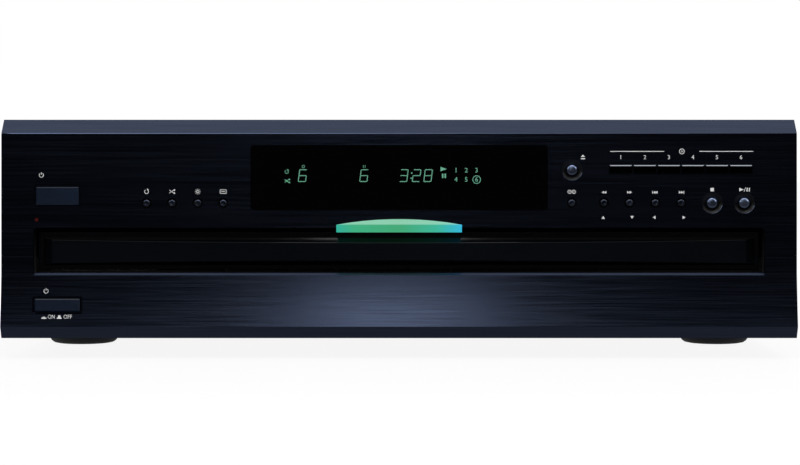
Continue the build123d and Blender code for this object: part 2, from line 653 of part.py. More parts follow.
with BuildPart() as mech_base:
    block((-BASE_HALF, BASE_HALF), (Y_CHASSIS + 3, Y_REAR - 14), (BASE_Z, BASE_TOP))
    # windows: traverse, cam, left and right rear, front middle
    windows = (
        ((-WINDOW_HALF, WINDOW_HALF), (DECK_Y[0] - 1.5, DECK_Y[1] + 2)),
        ((CAM_X[0] - 3, CAM_X[1] + CAM_TRAVEL + 3), (CAM_Y - 7, CAM_Y + CAM_T + 3)),
        ((-180, -80), (45, 175)),
        ((80, 180), (45, 175)),
        ((-80, 120), (-140, CAM_Y - 45)),
    )
    for x, y in windows:
        block(x, y, (BASE_Z - 1, BASE_TOP + 1), mode=Mode.SUBTRACT)
    for side in (-1, 1):
        rail = sorted((side * RAIL_IN, side * 203.0))
        wall = sorted((side * (RUNNER_HALF + 0.8), side * 203.0))
        lip = sorted((side * (DRAWER_HALF + 0.9), side * 203.0))
        block(rail, (Y_CHASSIS + 3, Y_REAR - 20), (BASE_TOP, RAIL_Z))
        for y in (-193.0, -110.0, -5.0, 70.0):
            block(wall, (y, y + 22), (RAIL_Z, RUNNER_Z + 6.2))
            block(lip, (y, y + 22), (RUNNER_Z + 4.0, RUNNER_Z + 6.2))
        for y in (-188, -70, 60, 172):
            block(sorted((side * 190, side * 202)), (y, y + 12), (FLOOR_Z + SHEET, BASE_Z))
        # channels that guide the traverse's side tabs
        for y in ((TAB_Y[0] - GUIDE_WALL - CLEAR, TAB_Y[0] - CLEAR),
                  (TAB_Y[1] + CLEAR, TAB_Y[1] + CLEAR + GUIDE_WALL)):
            block(sorted((side * (TRAVERSE_HALF + 0.8), side * WINDOW_HALF)), y,
                  (FLOOR_Z + SHEET, BASE_TOP))
    # guides of the cam plate: a fork with a ledge at the left, a finger at the right
    for x, foot in ((-36.0, FLOOR_Z + SHEET), (31.0, CAM_Z[0] + 3.4)):
        block((x - 2.5, x + 2.5), (CAM_Y - 3.4, CAM_Y - CLEAR), (foot, BASE_TOP))
        block((x - 2.5, x + 2.5), (CAM_Y - 8, CAM_Y - CLEAR), (BASE_Z, BASE_TOP))
    block((-38.5, -33.5), (CAM_Y - 3.4, CAM_Y + CAM_T + 2.4), (FLOOR_Z + SHEET, CAM_Z[0] - 0.3))
    block((-38.5, -33.5), (CAM_Y + CAM_T + CLEAR, CAM_Y + CAM_T + 2.4), (FLOOR_Z + SHEET, CAM_Z[0] + 5))
    # spindles of the drive gear and the pulley gear, and holes for the motor shafts
    disc(*DRIVE_AT, (BASE_TOP, RUNNER_Z + 6.0), 2.0)
    disc(*IDLER_AT, (BASE_TOP, RUNNER_Z + 4.4), 2.0)
    prism(*MOTOR_AT, (BASE_Z, BASE_TOP), 2.2, 12, mode=Mode.SUBTRACT)
save(mech_base, "mech_base")

# Motors on the base: the loading motor, and the lift motor above its gear.
with BuildPart() as drive_motors:
    prism(*MOTOR_AT, (BASE_Z - 20, BASE_Z), MOTOR_R, 20)
    prism(*LIFT_GEAR_AT, (PIN_Z + 4.5, BASE_Z), MOTOR_R - 2, 20)
save(drive_motors, "drive_motors")

# Loading train: motor pulley, belt, pulley gear, drive gear.
with BuildPart() as motor_pulley:
    disc(*MOTOR_AT, (BASE_Z, BELT_Z[0] - 1.2), 1.5)
    prism(*MOTOR_AT, (BELT_Z[0] - 1.2, BELT_Z[0] - 0.1), MOTOR_PULLEY_R + 1.4, 16)
    prism(*MOTOR_AT, (BELT_Z[0] - 0.1, BELT_Z[1] + 0.1), MOTOR_PULLEY_R, 16)
    prism(*MOTOR_AT, (BELT_Z[1] + 0.1, BELT_Z[1] + 1.2), MOTOR_PULLEY_R + 1.4, 16)
save(motor_pulley, "motor_pulley")


def belt_outline(grow, mode=Mode.ADD):
    """The belt's path round both pulleys, grown by grow; its sides are common tangents."""
    big, small = PULLEY_R + grow, MOTOR_PULLEY_R + grow
    lean = math.acos((big - small) / (MOTOR_AT[0] - IDLER_AT[0]))
    points = []
    for radius, x, start, sweep, steps in ((big, IDLER_AT[0], lean, 2 * (math.pi - lean), 16),
                                           (small, MOTOR_AT[0], -lean, 2 * lean, 8)):
        for i in range(steps + 1):
            angle = start + sweep * i / steps
            points.append((x + radius * math.cos(angle), DRIVE_AT[1] + radius * math.sin(angle)))
    with BuildLine() as edge:
        Polyline(*points, close=True)
    make_face(edge.edges(), mode=mode)


with BuildPart() as drawer_belt:
    with BuildSketch(level(BELT_Z[0])):
        belt_outline(BELT_T)
        belt_outline(0.15, mode=Mode.SUBTRACT)
    extrude(amount=BELT_Z[1] - BELT_Z[0])
save(drawer_belt, "drawer_belt")

TRAIN_Z = (BASE_TOP + 0.5, RUNNER_Z - 0.8)
HALF_TOOTH = 180.0 / IDLER_TEETH
with BuildPart() as pulley_gear:
    gear(*IDLER_AT, TRAIN_Z, IDLER_TEETH, TRAIN_MODULE, 180 + HALF_TOOTH)
    prism(*IDLER_AT, (TRAIN_Z[1], BELT_Z[0] - 0.1), PULLEY_R + 1, 24)
    prism(*IDLER_AT, (BELT_Z[0] - 0.1, BELT_Z[1] + 0.1), PULLEY_R, 24)
    prism(*IDLER_AT, (BELT_Z[1] + 0.1, BELT_Z[1] + 1), PULLEY_R + 1, 24)
    disc(*IDLER_AT, (BASE_TOP, RUNNER_Z + 6), 2.0 + RUNNING, mode=Mode.SUBTRACT)
save(pulley_gear, "pulley_gear")

RACK_Z = (RUNNER_Z + 0.6, RUNNER_Z + 5.6)
with BuildPart() as drive_gear:
    gear(*DRIVE_AT, TRAIN_Z, WHEEL_TEETH, TRAIN_MODULE, 0)
    gear(*DRIVE_AT, (TRAIN_Z[1], RACK_Z[1]), RACK_GEAR_TEETH, RACK_MODULE, 180)
    disc(*DRIVE_AT, (BASE_TOP, RUNNER_Z + 7), 2.0 + RUNNING, mode=Mode.SUBTRACT)
save(drive_gear, "drive_gear")

# Clamp bridge: a folded steel strap across the drawer, with a dished middle.
with BuildPart() as clamp_bridge:
    with BuildSketch(face_at(BRIDGE_Y[0])):
        with BuildLine():
            Polyline((-BRIDGE_X - 4, BASE_TOP), (-BRIDGE_X, BASE_TOP), (-BRIDGE_X, BRIDGE_Z),
                     (-60, BRIDGE_Z), (-54, BRIDGE_Z + 5), (54, BRIDGE_Z + 5), (60, BRIDGE_Z),
                     (BRIDGE_X, BRIDGE_Z), (BRIDGE_X, BASE_TOP), (BRIDGE_X + 4, BASE_TOP))
            offset(amount=BRIDGE_T, side=Side.LEFT, closed=True)
        make_face()
    extrude(amount=BRIDGE_Y[0] - BRIDGE_Y[1])
    prism(0, PLAY_Y, (BRIDGE_Z, BRIDGE_Z + 10), 15.8, 24, mode=Mode.SUBTRACT)
    for side in (-1, 1):
        block(sorted((side * 85, side * 175)), (PLAY_Y - 13, PLAY_Y + 13), (BRIDGE_Z, BRIDGE_Z + 4),
              mode=Mode.SUBTRACT)
save(clamp_bridge, "clamp_bridge")

# Clamper: a puck that floats in the bridge, open below for the spindle's cone.
CLAMP_Z = DECK_Z + 1.3
SEAT_Z = TRAVERSE_Z + 8.5        # disc seat of the lowered turntable
with BuildPart() as clamper:
    bridge_top = BRIDGE_Z + 5 + BRIDGE_T
    prism(0, PLAY_Y, (CLAMP_Z, CLAMP_Z + 3), 17, 24)
    prism(0, PLAY_Y, (CLAMP_Z + 3, bridge_top + 0.05), 13, 24)
    prism(0, PLAY_Y, (bridge_top + 0.05, bridge_top + 2), 18, 24)
    disc(0, PLAY_Y, (CLAMP_Z, CLAMP_Z + 2.6), 8.4, mode=Mode.SUBTRACT)
save(clamper, "clamper")

# =====================================================================
# Drawer
# =====================================================================

DRAWER_Y = (Y_FLANGE, DRAWER_END)
TRAY_FLOOR = (DRAWER_FLOOR_Z, DRAWER_FLOOR_Z + DRAWER_FLOOR_T)
BAY_HALF = WINDOW_HALF
BAY_Y = DECK_Y[0] - 4.0
PINION_PITCH_R = RING_MODULE * PINION_TEETH / 2
RING_R = RING_MODULE * RING_TEETH / 2
PINION_REACH = (RING_R + PINION_PITCH_R) * math.sqrt(0.5)
PINION_AT = (PINION_REACH, Y_CENTRE - PINION_REACH)

# Drawer front: a bowed bar that narrows forwards to a nose, with turned-back ends.
NOSE_TOP_Z = SLOT_Z + 16.6       # nose, upper edge at the crown
NOSE_FOOT_Z = SLOT_Z + 6.9       # nose, lower edge at the crown
TOP_SLOPE = math.tan(math.radians(9))
FOOT_SLOPE = math.tan(math.radians(14))
with BuildPart() as drawer_front:
    flange_front = Y_FLANGE - 2.0
    with BuildSketch(level(RUNNER_Z)):
        with BuildLine():
            inner_half = DRAWER_HALF - NOSE_CORNER
            ThreePointArc((-inner_half, Y_NOSE + BOW), (0, Y_NOSE), (inner_half, Y_NOSE + BOW))
            Polyline((inner_half, Y_NOSE + BOW), (DRAWER_HALF, flange_front - 0.4),
                     (DRAWER_HALF, flange_front), (-DRAWER_HALF, flange_front),
                     (-DRAWER_HALF, flange_front - 0.4), (-inner_half, Y_NOSE + BOW))
        make_face()
    extrude(amount=DRAWER_H)
    deep = NOSE_DEPTH + 2
    with BuildSketch(Plane.YZ):
        with BuildLine():
            Polyline((Y_NOSE - 1, NOSE_TOP_Z - TOP_SLOPE), (Y_NOSE + deep, NOSE_TOP_Z + deep * TOP_SLOPE),
                     (Y_NOSE + deep, NOSE_TOP_Z + 20), (Y_NOSE - 1, NOSE_TOP_Z + 20), close=True)
        make_face()
        with BuildLine():
            Polyline((Y_NOSE - 1, NOSE_FOOT_Z + FOOT_SLOPE), (Y_NOSE + deep, NOSE_FOOT_Z - deep * FOOT_SLOPE),
                     (Y_NOSE + deep, NOSE_FOOT_Z - 20), (Y_NOSE - 1, NOSE_FOOT_Z - 20), close=True)
        make_face()
    extrude(amount=WIDTH, both=True, mode=Mode.SUBTRACT)
    block((-RUNNER_HALF + 0.2, RUNNER_HALF - 0.2), (flange_front, Y_FLANGE),
          (SLOT_Z + 1.2, SLOT_TOP - LENS_DROP - 0.4))
save(drawer_front, "drawer_front")

# Drawer: side walls with runners, floor with a bay for the traverse, deck round the carousel.
with BuildPart() as drawer_tray:
    block((-DRAWER_HALF, DRAWER_HALF), DRAWER_Y, TRAY_FLOOR)
    block((-DRAWER_HALF, DRAWER_HALF), DRAWER_Y, (DECK_Z - DECK_T, DECK_Z))
    for side in (-1, 1):
        wall = sorted((side * DRAWER_HALF, side * (DRAWER_HALF - DRAWER_WALL)))
        runner = sorted((side * DRAWER_HALF, side * RUNNER_HALF))
        block(wall, DRAWER_Y, (RUNNER_Z, DECK_Z - DECK_T))
        block(runner, DRAWER_Y, (RUNNER_Z, RUNNER_Z + 3.5))
    block((-DRAWER_HALF, DRAWER_HALF), (Y_FLANGE, Y_FLANGE + DRAWER_WALL), (RUNNER_Z, DECK_Z - DECK_T))
    block((-DRAWER_HALF, DRAWER_HALF), (DRAWER_END - DRAWER_WALL, DRAWER_END),
          (DRAWER_FLOOR_Z, DECK_Z - DECK_T))
    prism(0, Y_CENTRE, (DECK_Z - DECK_T, DECK_Z), CAROUSEL_R + CAROUSEL_GAP, RIM_SIDES,
          mode=Mode.SUBTRACT)
    # thrust pads and post that carry the carousel
    with BuildSketch(Plane(origin=(0, Y_CENTRE, TRAY_FLOOR[1]))):
        with PolarLocations(THRUST_R, 6, start_angle=30):
            Rectangle(3, 18)
    extrude(amount=CAROUSEL_Z - 0.1 - TRAY_FLOOR[1])
    disc(0, Y_CENTRE, (TRAY_FLOOR[0], CAROUSEL_TOP), POST_R)
    block((-BAY_HALF, BAY_HALF), (BAY_Y, DRAWER_END + 1), (TRAY_FLOOR[0] - 1, TRAY_FLOOR[1]),
          mode=Mode.SUBTRACT)
    # cup that holds the carousel motor
    prism(*PINION_AT, (RUNNER_Z, TRAY_FLOOR[0]), MOTOR_R + 2, 20)
    prism(*PINION_AT, (RUNNER_Z + 0.5, TRAY_FLOOR[1] + 1), MOTOR_R + 0.1, 20, mode=Mode.SUBTRACT)
save(drawer_tray, "drawer_tray")

# Rack along the left wall, teeth inwards.
RACK_Y = (Y_FLANGE + 8.0, DRIVE_AT[1] + DRAWER_TRAVEL + 12.0)
with BuildPart() as drawer_rack:
    along = Plane(origin=(RACK_PITCH_X, RACK_Y[1], RACK_Z[0]), x_dir=(0, -1, 0), z_dir=(0, 0, 1))
    gap_at = RACK_Y[1] - DRIVE_AT[1]
    with BuildSketch(along):
        with BuildLine():
            Polyline(*rack_points(RACK_Y[1] - RACK_Y[0], RACK_MODULE, 3.5,
                                  (gap_at + math.pi * RACK_MODULE / 2) % (math.pi * RACK_MODULE)), close=True)
        make_face()
    extrude(amount=RACK_Z[1] - RACK_Z[0])
save(drawer_rack, "drawer_rack")

# Carousel: six stepped wells, each open over the pickup, round a raised hub.
RING_Z = (CAROUSEL_Z - 2.8, CAROUSEL_Z)
with BuildPart() as carousel:
    prism(0, Y_CENTRE, (CAROUSEL_Z, CAROUSEL_TOP), CAROUSEL_R, RIM_SIDES)
    centre = Plane(origin=(0, Y_CENTRE, CAROUSEL_TOP))
    for radius, deep in ((WELL_R, WELL_DEEP), (INNER_WELL_R, INNER_WELL_DEEP)):
        with BuildSketch(centre):
            with PolarLocations(WELL_RING_R, WELLS, start_angle=90):
                RegularPolygon(radius, WELL_SIDES)
        extrude(amount=-deep, mode=Mode.SUBTRACT)
    slot_mid = (PICKUP_SLOT_END_R + WELL_RING_R) / 2
    with BuildSketch(centre):
        with PolarLocations(WELL_RING_R, WELLS, start_angle=90):
            RegularPolygon(PICKUP_SLOT_W / 2, WELL_SIDES // 2)
        with PolarLocations(slot_mid, WELLS, start_angle=90):
            Rectangle(WELL_RING_R - PICKUP_SLOT_END_R, PICKUP_SLOT_W)
    extrude(amount=-CAROUSEL_T - 1, mode=Mode.SUBTRACT)
    disc(0, Y_CENTRE, (CAROUSEL_Z - 1, CAROUSEL_TOP + 1), POST_R + RUNNING, mode=Mode.SUBTRACT)
save(carousel, "carousel")

# Ring gear moulding under the carousel, round its hub.
with BuildPart() as ring_gear:
    with BuildSketch(Plane(origin=(0, Y_CENTRE, RING_Z[0]))):
        with BuildLine():
            Polyline(*gear_points(RING_TEETH, RING_MODULE, -45), close=True)
        make_face()
        RegularPolygon(RING_R - DEDENDUM * RING_MODULE - 3.5, 24, mode=Mode.SUBTRACT)
    extrude(amount=RING_Z[1] - RING_Z[0])
save(ring_gear, "ring_gear")

# Hub cap over the carousel's post.
with BuildPart() as hub_cap:
    prism(0, Y_CENTRE, (CAROUSEL_TOP, CAROUSEL_TOP + CAP_H), CAP_R, 36, taper=40)
save(hub_cap, "hub_cap")

# Carousel drive: a flat geared motor let into the drawer floor, with its pinion at the ring gear.
with BuildPart() as carousel_motor:
    prism(*PINION_AT, (RUNNER_Z + 0.5, RING_Z[0] - 0.4), MOTOR_R, 20)
save(carousel_motor, "carousel_motor")

with BuildPart() as carousel_pinion:
    gear(*PINION_AT, (RING_Z[0] + 0.1, RING_Z[1] - 0.3), PINION_TEETH, RING_MODULE, 135 + 18)
    disc(*PINION_AT, (RING_Z[0] - 0.4, RING_Z[0] + 0.1), 1.5)
save(carousel_pinion, "carousel_pinion")

# =====================================================================
# Traverse: the lifting deck that carries the spindle and the pickup
# =====================================================================

ROD_X = 26.0
ROD_R = 1.5
ROD_Z = TRAVERSE_Z - 6.5
SLED_Y = (PLAY_Y - 33.0, PLAY_Y - 16.0)
LENS_Y = PLAY_Y - 24.0
SLED_PITCH_X = -ROD_X - 5.5
SLED_GEAR_R = SLED_MODULE * SLED_TEETH / 2
SLED_GEAR_AT = (SLED_PITCH_X - SLED_GEAR_R, SLED_Y[0] + 4.0)
SLED_RACK_Z = (TRAVERSE_Z - 11.0, TRAVERSE_Z - 8.0)
ROD_ENDS = (DECK_Y[0] + 2.5, SLED_Y[1] + 3.0)

PLATE_Z = (TRAVERSE_Z - TRAVERSE_T, TRAVERSE_Z)     # the lowered deck plate

with BuildPart() as traverse_deck:
    block((-TRAVERSE_HALF, TRAVERSE_HALF), DECK_Y, PLATE_Z)
    block((-TRAVERSE_HALF, TRAVERSE_HALF), (DECK_Y[0], DECK_Y[0] + 2.5), (PIN_Z - 3.5, PLATE_Z[1]))
    block((-ROD_X - 4, ROD_X + 4), (DECK_Y[0] + 2.5, ROD_ENDS[1] - 2.5), (PLATE_Z[0] - 1, PLATE_Z[1] + 1),
          mode=Mode.SUBTRACT)
    for side in (-1, 1):
        tab = sorted((side * TRAVERSE_HALF, side * TAB_HALF))
        block(tab, TAB_Y, (PLATE_Z[0] - 12, PLATE_Z[1]))
        block(sorted((side * (ROD_X - 2.8), side * (ROD_X + 2.8))), (ROD_ENDS[1] - 2.5, ROD_ENDS[1]),
              (ROD_Z - 3, PLATE_Z[0]))
        with BuildSketch(face_at(DECK_Y[0])):
            with Locations((side * PIN_X, PIN_Z)):
                Circle(PIN_R)
        extrude(amount=DECK_Y[0] - CAM_Y + 1.5)
    prism(0, PLAY_Y, (PLATE_Z[0] - 1, PLATE_Z[1] + 1), 7.2, 16, mode=Mode.SUBTRACT)
    # bracket that holds the sled motor below its gear
    x, y = SLED_GEAR_AT
    block((x - 5, x + 5), (y + 9, y + 11.5), (SLED_RACK_Z[0] - 2, PLATE_Z[0]))
    block((x - 7, x + 7), (y - 7, y + 11.5), (SLED_RACK_Z[0] - 2.0, SLED_RACK_Z[0] - 0.6))
    prism(x, y, (SLED_RACK_Z[0] - 3, SLED_RACK_Z[0]), 1.8, 12, mode=Mode.SUBTRACT)
save(traverse_deck, "traverse_deck")

with BuildPart() as traverse_motors:
    prism(0, PLAY_Y, (PLATE_Z[0] - 9, PLATE_Z[0]), MOTOR_R, 20)
    disc(0, PLAY_Y, (PLATE_Z[0] - 9.5, PLATE_Z[0] + 1), 1.0 + RUNNING, mode=Mode.SUBTRACT)
    x, y = SLED_GEAR_AT
    prism(x, y, (SLED_RACK_Z[0] - 9, SLED_RACK_Z[0] - 2.0), 7.5, 16)
save(traverse_motors, "traverse_motors")

with BuildPart() as guide_rods:
    for side in (-1, 1):
        with BuildSketch(face_at(ROD_ENDS[0])):
            with Locations((side * ROD_X, ROD_Z)):
                Circle(ROD_R)
        extrude(amount=ROD_ENDS[0] - ROD_ENDS[1] + 2.5)
save(guide_rods, "guide_rods")

# Turntable: shaft, hub, disc seat and centring cone.
SEAT_R = 15.0
CONE_R = 7.4
with BuildPart() as turntable:
    disc(0, PLAY_Y, (PLATE_Z[0] - 7, PLATE_Z[0] + 0.5), 1.0)
    prism(0, PLAY_Y, (PLATE_Z[0] + 0.5, SEAT_Z - 2), 6, 16)
    prism(0, PLAY_Y, (SEAT_Z - 2, SEAT_Z), SEAT_R, 24)
    prism(0, PLAY_Y, (SEAT_Z, SEAT_Z + 2.6), CONE_R, 24, taper=35)
save(turntable, "turntable")

# Pickup sled: runs on both rods, with the lens housing on top and a rack at its left.
with BuildPart() as pickup_sled:
    block((-ROD_X - 3, ROD_X + 3), SLED_Y, (ROD_Z - 4, TRAVERSE_Z + 0.5))
    block((-12, 12), (LENS_Y - 6.5, LENS_Y + 6.5), (TRAVERSE_Z + 0.5, SEAT_Z - 1.6))
    prism(0, LENS_Y, (SEAT_Z - 1.6, SEAT_Z - 1.1), 2.5, 12)
    for side in (-1, 1):
        with BuildSketch(face_at(SLED_Y[0] - 1)):
            with Locations((side * ROD_X, ROD_Z)):
                Circle(ROD_R + RUNNING)
        extrude(amount=-20, mode=Mode.SUBTRACT)
    rack_end = SLED_Y[0] + SLED_TRAVEL + 9.0
    along = Plane(origin=(SLED_PITCH_X, SLED_Y[0], SLED_RACK_Z[0]), x_dir=(0, 1, 0), z_dir=(0, 0, 1))
    gap_at = SLED_GEAR_AT[1] - SLED_Y[0]
    with BuildSketch(along):
        with BuildLine():
            Polyline(*rack_points(rack_end - SLED_Y[0], SLED_MODULE, 2.5,
                                  (gap_at + math.pi * SLED_MODULE / 2) % (math.pi * SLED_MODULE)), close=True)
        make_face()
    extrude(amount=SLED_RACK_Z[1] - SLED_RACK_Z[0])
save(pickup_sled, "pickup_sled")

with BuildPart() as sled_gear:
    gear(*SLED_GEAR_AT, SLED_RACK_Z, SLED_TEETH, SLED_MODULE, 0)
    disc(*SLED_GEAR_AT, (SLED_RACK_Z[0] - 1.9, SLED_RACK_Z[0]), 1.4)
save(sled_gear, "sled_gear")

# Lift cam: a plate with two slanting slots that carry the deck's pins, and a rack in front.
CAM_RACK_X = (LIFT_GEAR_AT[0] - CAM_TRAVEL - 6.0, LIFT_GEAR_AT[0] + 6.0)
with BuildPart() as lift_cam:
    with BuildSketch(face_at(CAM_Y)):
        with Locations(((CAM_X[0] + CAM_X[1]) / 2, (CAM_Z[0] + CAM_Z[1]) / 2)):
            Rectangle(CAM_X[1] - CAM_X[0], CAM_Z[1] - CAM_Z[0])
        with Locations([(side * PIN_X - CAM_TRAVEL / 2, PIN_Z + LIFT / 2) for side in (-1, 1)]):
            SlotCenterToCenter(math.hypot(CAM_TRAVEL, LIFT), 2 * (PIN_R + 0.2),
                               rotation=-math.degrees(math.atan2(LIFT, CAM_TRAVEL)), mode=Mode.SUBTRACT)
    extrude(amount=-CAM_T)
    along = Plane(origin=(CAM_RACK_X[0], CAM_RACK_Y, CAM_Z[0]), x_dir=(1, 0, 0), z_dir=(0, 0, -1))
    gap_at = LIFT_GEAR_AT[0] - CAM_RACK_X[0]
    with BuildSketch(along):
        with BuildLine():
            Polyline(*rack_points(CAM_RACK_X[1] - CAM_RACK_X[0], TRAIN_MODULE, CAM_Y - CAM_RACK_Y,
                                  (gap_at + math.pi * TRAIN_MODULE / 2) % (math.pi * TRAIN_MODULE)), close=True)
        make_face()
    extrude(amount=-2.8)
save(lift_cam, "lift_cam")

with BuildPart() as lift_gear:
    gear(*LIFT_GEAR_AT, (CAM_Z[0] - 0.2, CAM_Z[0] + 3.0), LIFT_GEAR_TEETH, TRAIN_MODULE, 90)
    disc(*LIFT_GEAR_AT, (CAM_Z[0] + 3.0, PIN_Z + 4.4), 1.5)
save(lift_gear, "lift_gear")

# =====================================================================
# Buttons: a cap through the fascia, a flange behind it and a post to its switch
# =====================================================================

FLANGE_Y = (Y_BACK + 0.2, Y_BACK + 1.2)
KEY_Y = BOARD_Y - 2.4            # front of the key switches


def key_base(x, z, width, height):
    """The flange behind the fascia and the post that presses the switch."""
    block((x - width / 2, x + width / 2), FLANGE_Y, (z - height / 2, z + height / 2))
    block((x - 1, x + 1), (FLANGE_Y[1], KEY_Y - BUTTON_TRAVEL - 0.1), (z - 1, z + 1))


def round_cap(x, z, radius):
    """A round cap that stands a little proud of the fascia."""
    with BuildSketch(face_at(FLANGE_Y[0])) as profile:
        with Locations((x, z)):
            RegularPolygon(radius, CAP_SIDES)
    extrude(profile.sketch, amount=FLANGE_Y[0] - Y_FACE + BUTTON_PROUD)


def bar_cap(x, z, size, proud):
    """A four-sided cap with a chamfered front."""
    front_pocket(x, z, *size, 0, Y_FACE - proud, FLANGE_Y[0] - Y_FACE + proud, mode=Mode.ADD)
    chamfer(edges().group_by(Axis.Y)[0], CAP_EDGE)


for name, (x, z) in SMALL_BUTTONS.items():
    with BuildPart() as button:
        round_cap(x, z, SMALL_R)
        key_base(x, z, 7.0, 7.0)
    save(button, name)

for name, (x, z) in LARGE_BUTTONS.items():
    with BuildPart() as button:
        round_cap(x, z, LARGE_R)
        chamfer(button.edges().group_by(Axis.Y)[0], 0.8)
        key_base(x, z, 9.0, 9.0)
    save(button, name)

for i in range(DISC_BARS):
    x = BAR_FIRST_X + i * BAR_PITCH
    with BuildPart() as button:
        bar_cap(x, BAR_Z, BAR_SIZE, BUTTON_PROUD)
        key_base(x, BAR_Z, BAR_SIZE[0], BAR_SIZE[1] + 2.4)
    save(button, f"disc_bar_{i + 1}")

with BuildPart() as standby_button:
    x, z = STANDBY_AT
    bar_cap(x, z, STANDBY_SIZE, STANDBY_PROUD)
    key_base(x, z, STANDBY_SIZE[0] + 3, STANDBY_SIZE[1] + 3)
save(standby_button, "standby_button")

with BuildPart() as power_button:
    x, z = POWER_AT
    bar_cap(x, z, POWER_SIZE, POWER_PROUD)
    block((x - 13.5, x + 13.5), FLANGE_Y, (z - 4.8, z + 4.8))
    block((x - 2, x + 2), (FLANGE_Y[1], Y_BACK + 6.5 - POWER_TRAVEL), (z - 2, z + 2))
save(power_button, "power_button")
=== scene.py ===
import json
import math

import bpy
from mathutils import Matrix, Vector

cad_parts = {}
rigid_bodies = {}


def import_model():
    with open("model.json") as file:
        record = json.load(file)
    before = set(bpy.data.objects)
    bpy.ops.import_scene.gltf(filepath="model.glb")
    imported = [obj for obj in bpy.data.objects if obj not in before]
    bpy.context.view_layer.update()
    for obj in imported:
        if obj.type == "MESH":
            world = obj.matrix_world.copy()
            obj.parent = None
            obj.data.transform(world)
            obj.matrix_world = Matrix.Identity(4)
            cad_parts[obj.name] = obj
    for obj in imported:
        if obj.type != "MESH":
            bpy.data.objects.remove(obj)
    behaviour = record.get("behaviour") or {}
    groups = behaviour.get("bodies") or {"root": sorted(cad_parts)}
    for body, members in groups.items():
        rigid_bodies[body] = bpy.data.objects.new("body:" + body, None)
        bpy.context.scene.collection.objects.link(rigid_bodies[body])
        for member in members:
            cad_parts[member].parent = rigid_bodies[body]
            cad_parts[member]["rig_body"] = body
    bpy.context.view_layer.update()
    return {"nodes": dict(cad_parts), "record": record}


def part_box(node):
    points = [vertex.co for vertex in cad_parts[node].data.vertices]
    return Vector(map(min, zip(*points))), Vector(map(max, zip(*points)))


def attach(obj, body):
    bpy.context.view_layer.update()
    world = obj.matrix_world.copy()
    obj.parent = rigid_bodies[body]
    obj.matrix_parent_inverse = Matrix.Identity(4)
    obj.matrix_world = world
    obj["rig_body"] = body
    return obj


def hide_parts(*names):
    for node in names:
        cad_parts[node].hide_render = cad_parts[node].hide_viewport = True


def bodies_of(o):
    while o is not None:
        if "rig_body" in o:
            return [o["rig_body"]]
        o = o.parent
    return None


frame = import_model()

# A six-disc player, in metres: +Z up, +X right, the front faces -Y.
NODES = frame["nodes"]
MM = 0.001

# ---- the camera's place, from the photograph ----
PHOTO_WIDTH, PHOTO_HEIGHT = 800, 465
MM_PER_PIXEL = 0.5468          # at the plane of the fascia
PHOTO_CENTRE_PX = 399.1        # picture column of the object's middle
FASCIA_FOOT_PX = 338.1         # picture row of the fascia's lower edge
FASCIA_FOOT_Z = 11.5           # height of that edge
EYE_DISTANCE = 1300.0          # camera to the plane of the fascia
EYE_Z = 117.0                  # camera height
SENSOR = 36.0

# ---- planes and places on the object, in millimetres ----
LIP_REACH = 4.0                # the flared part's lip stands this far in front of the face
FACE_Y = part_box("front_panel")[0].y / MM + LIP_REACH
FLARE_TOP_Z = 46.8             # height at which the flare starts
FLARE_SLOPE = 0.0903           # its lean there
FLARE_CURVE = 0.00169          # and how it grows downwards
BEVEL_Z = 123.5                # lower edge of the top bevel
NOSE_EDGE_Z = 63.7             # upper front edge of the drawer front
TUBE_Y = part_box("display_tube")[0].y / MM
CENTRE_Y = (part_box("hub_cap")[0].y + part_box("hub_cap")[1].y) / 2 / MM
CAROUSEL_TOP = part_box("carousel")[1].z / MM
DISCS = 6
FIRST_BAR_X, BAR_STEP = 121.2, 13.15
BAR_X = [FIRST_BAR_X + BAR_STEP * i for i in range(DISCS)]

# ---- making, in millimetres and degrees ----
PRINT_T = 0.04                 # thickness of printed marks
PRINT_SINK = 0.005             # how far a printed mark reaches into its surface
CAPITAL_SHARE = 0.69           # height of a capital, as a share of the text size
TURNED_SMOOTHING = 50          # turned pieces are smooth across smaller angles than this


def grey(level):
    """A neutral colour written as a screen level from 0 to 255."""
    return screen(level, level, level)


def screen(red, green, blue):
    """A linear colour from screen levels, 0 to 255."""
    linear = []
    for level in (red, green, blue):
        share = level / 255
        linear.append(share / 12.92 if share <= 0.04045 else ((share + 0.055) / 1.055) ** 2.4)
    return (*linear, 1.0)


# =====================================================================
# Shared effects
# =====================================================================

def effect_group(name, numbers, results):
    """A shader group; numbers are its inputs with their defaults, results its outputs."""
    group = bpy.data.node_groups.new(name, "ShaderNodeTree")
    new_socket = group.interface.new_socket
    for label, value in numbers:
        made = new_socket(name=label, socket_type="NodeSocketFloat", in_out="INPUT")
        made.default_value = value
    for label in results:
        new_socket(name=label, socket_type="NodeSocketFloat", in_out="OUTPUT")
    return group, group.nodes.new("NodeGroupInput"), group.nodes.new("NodeGroupOutput")


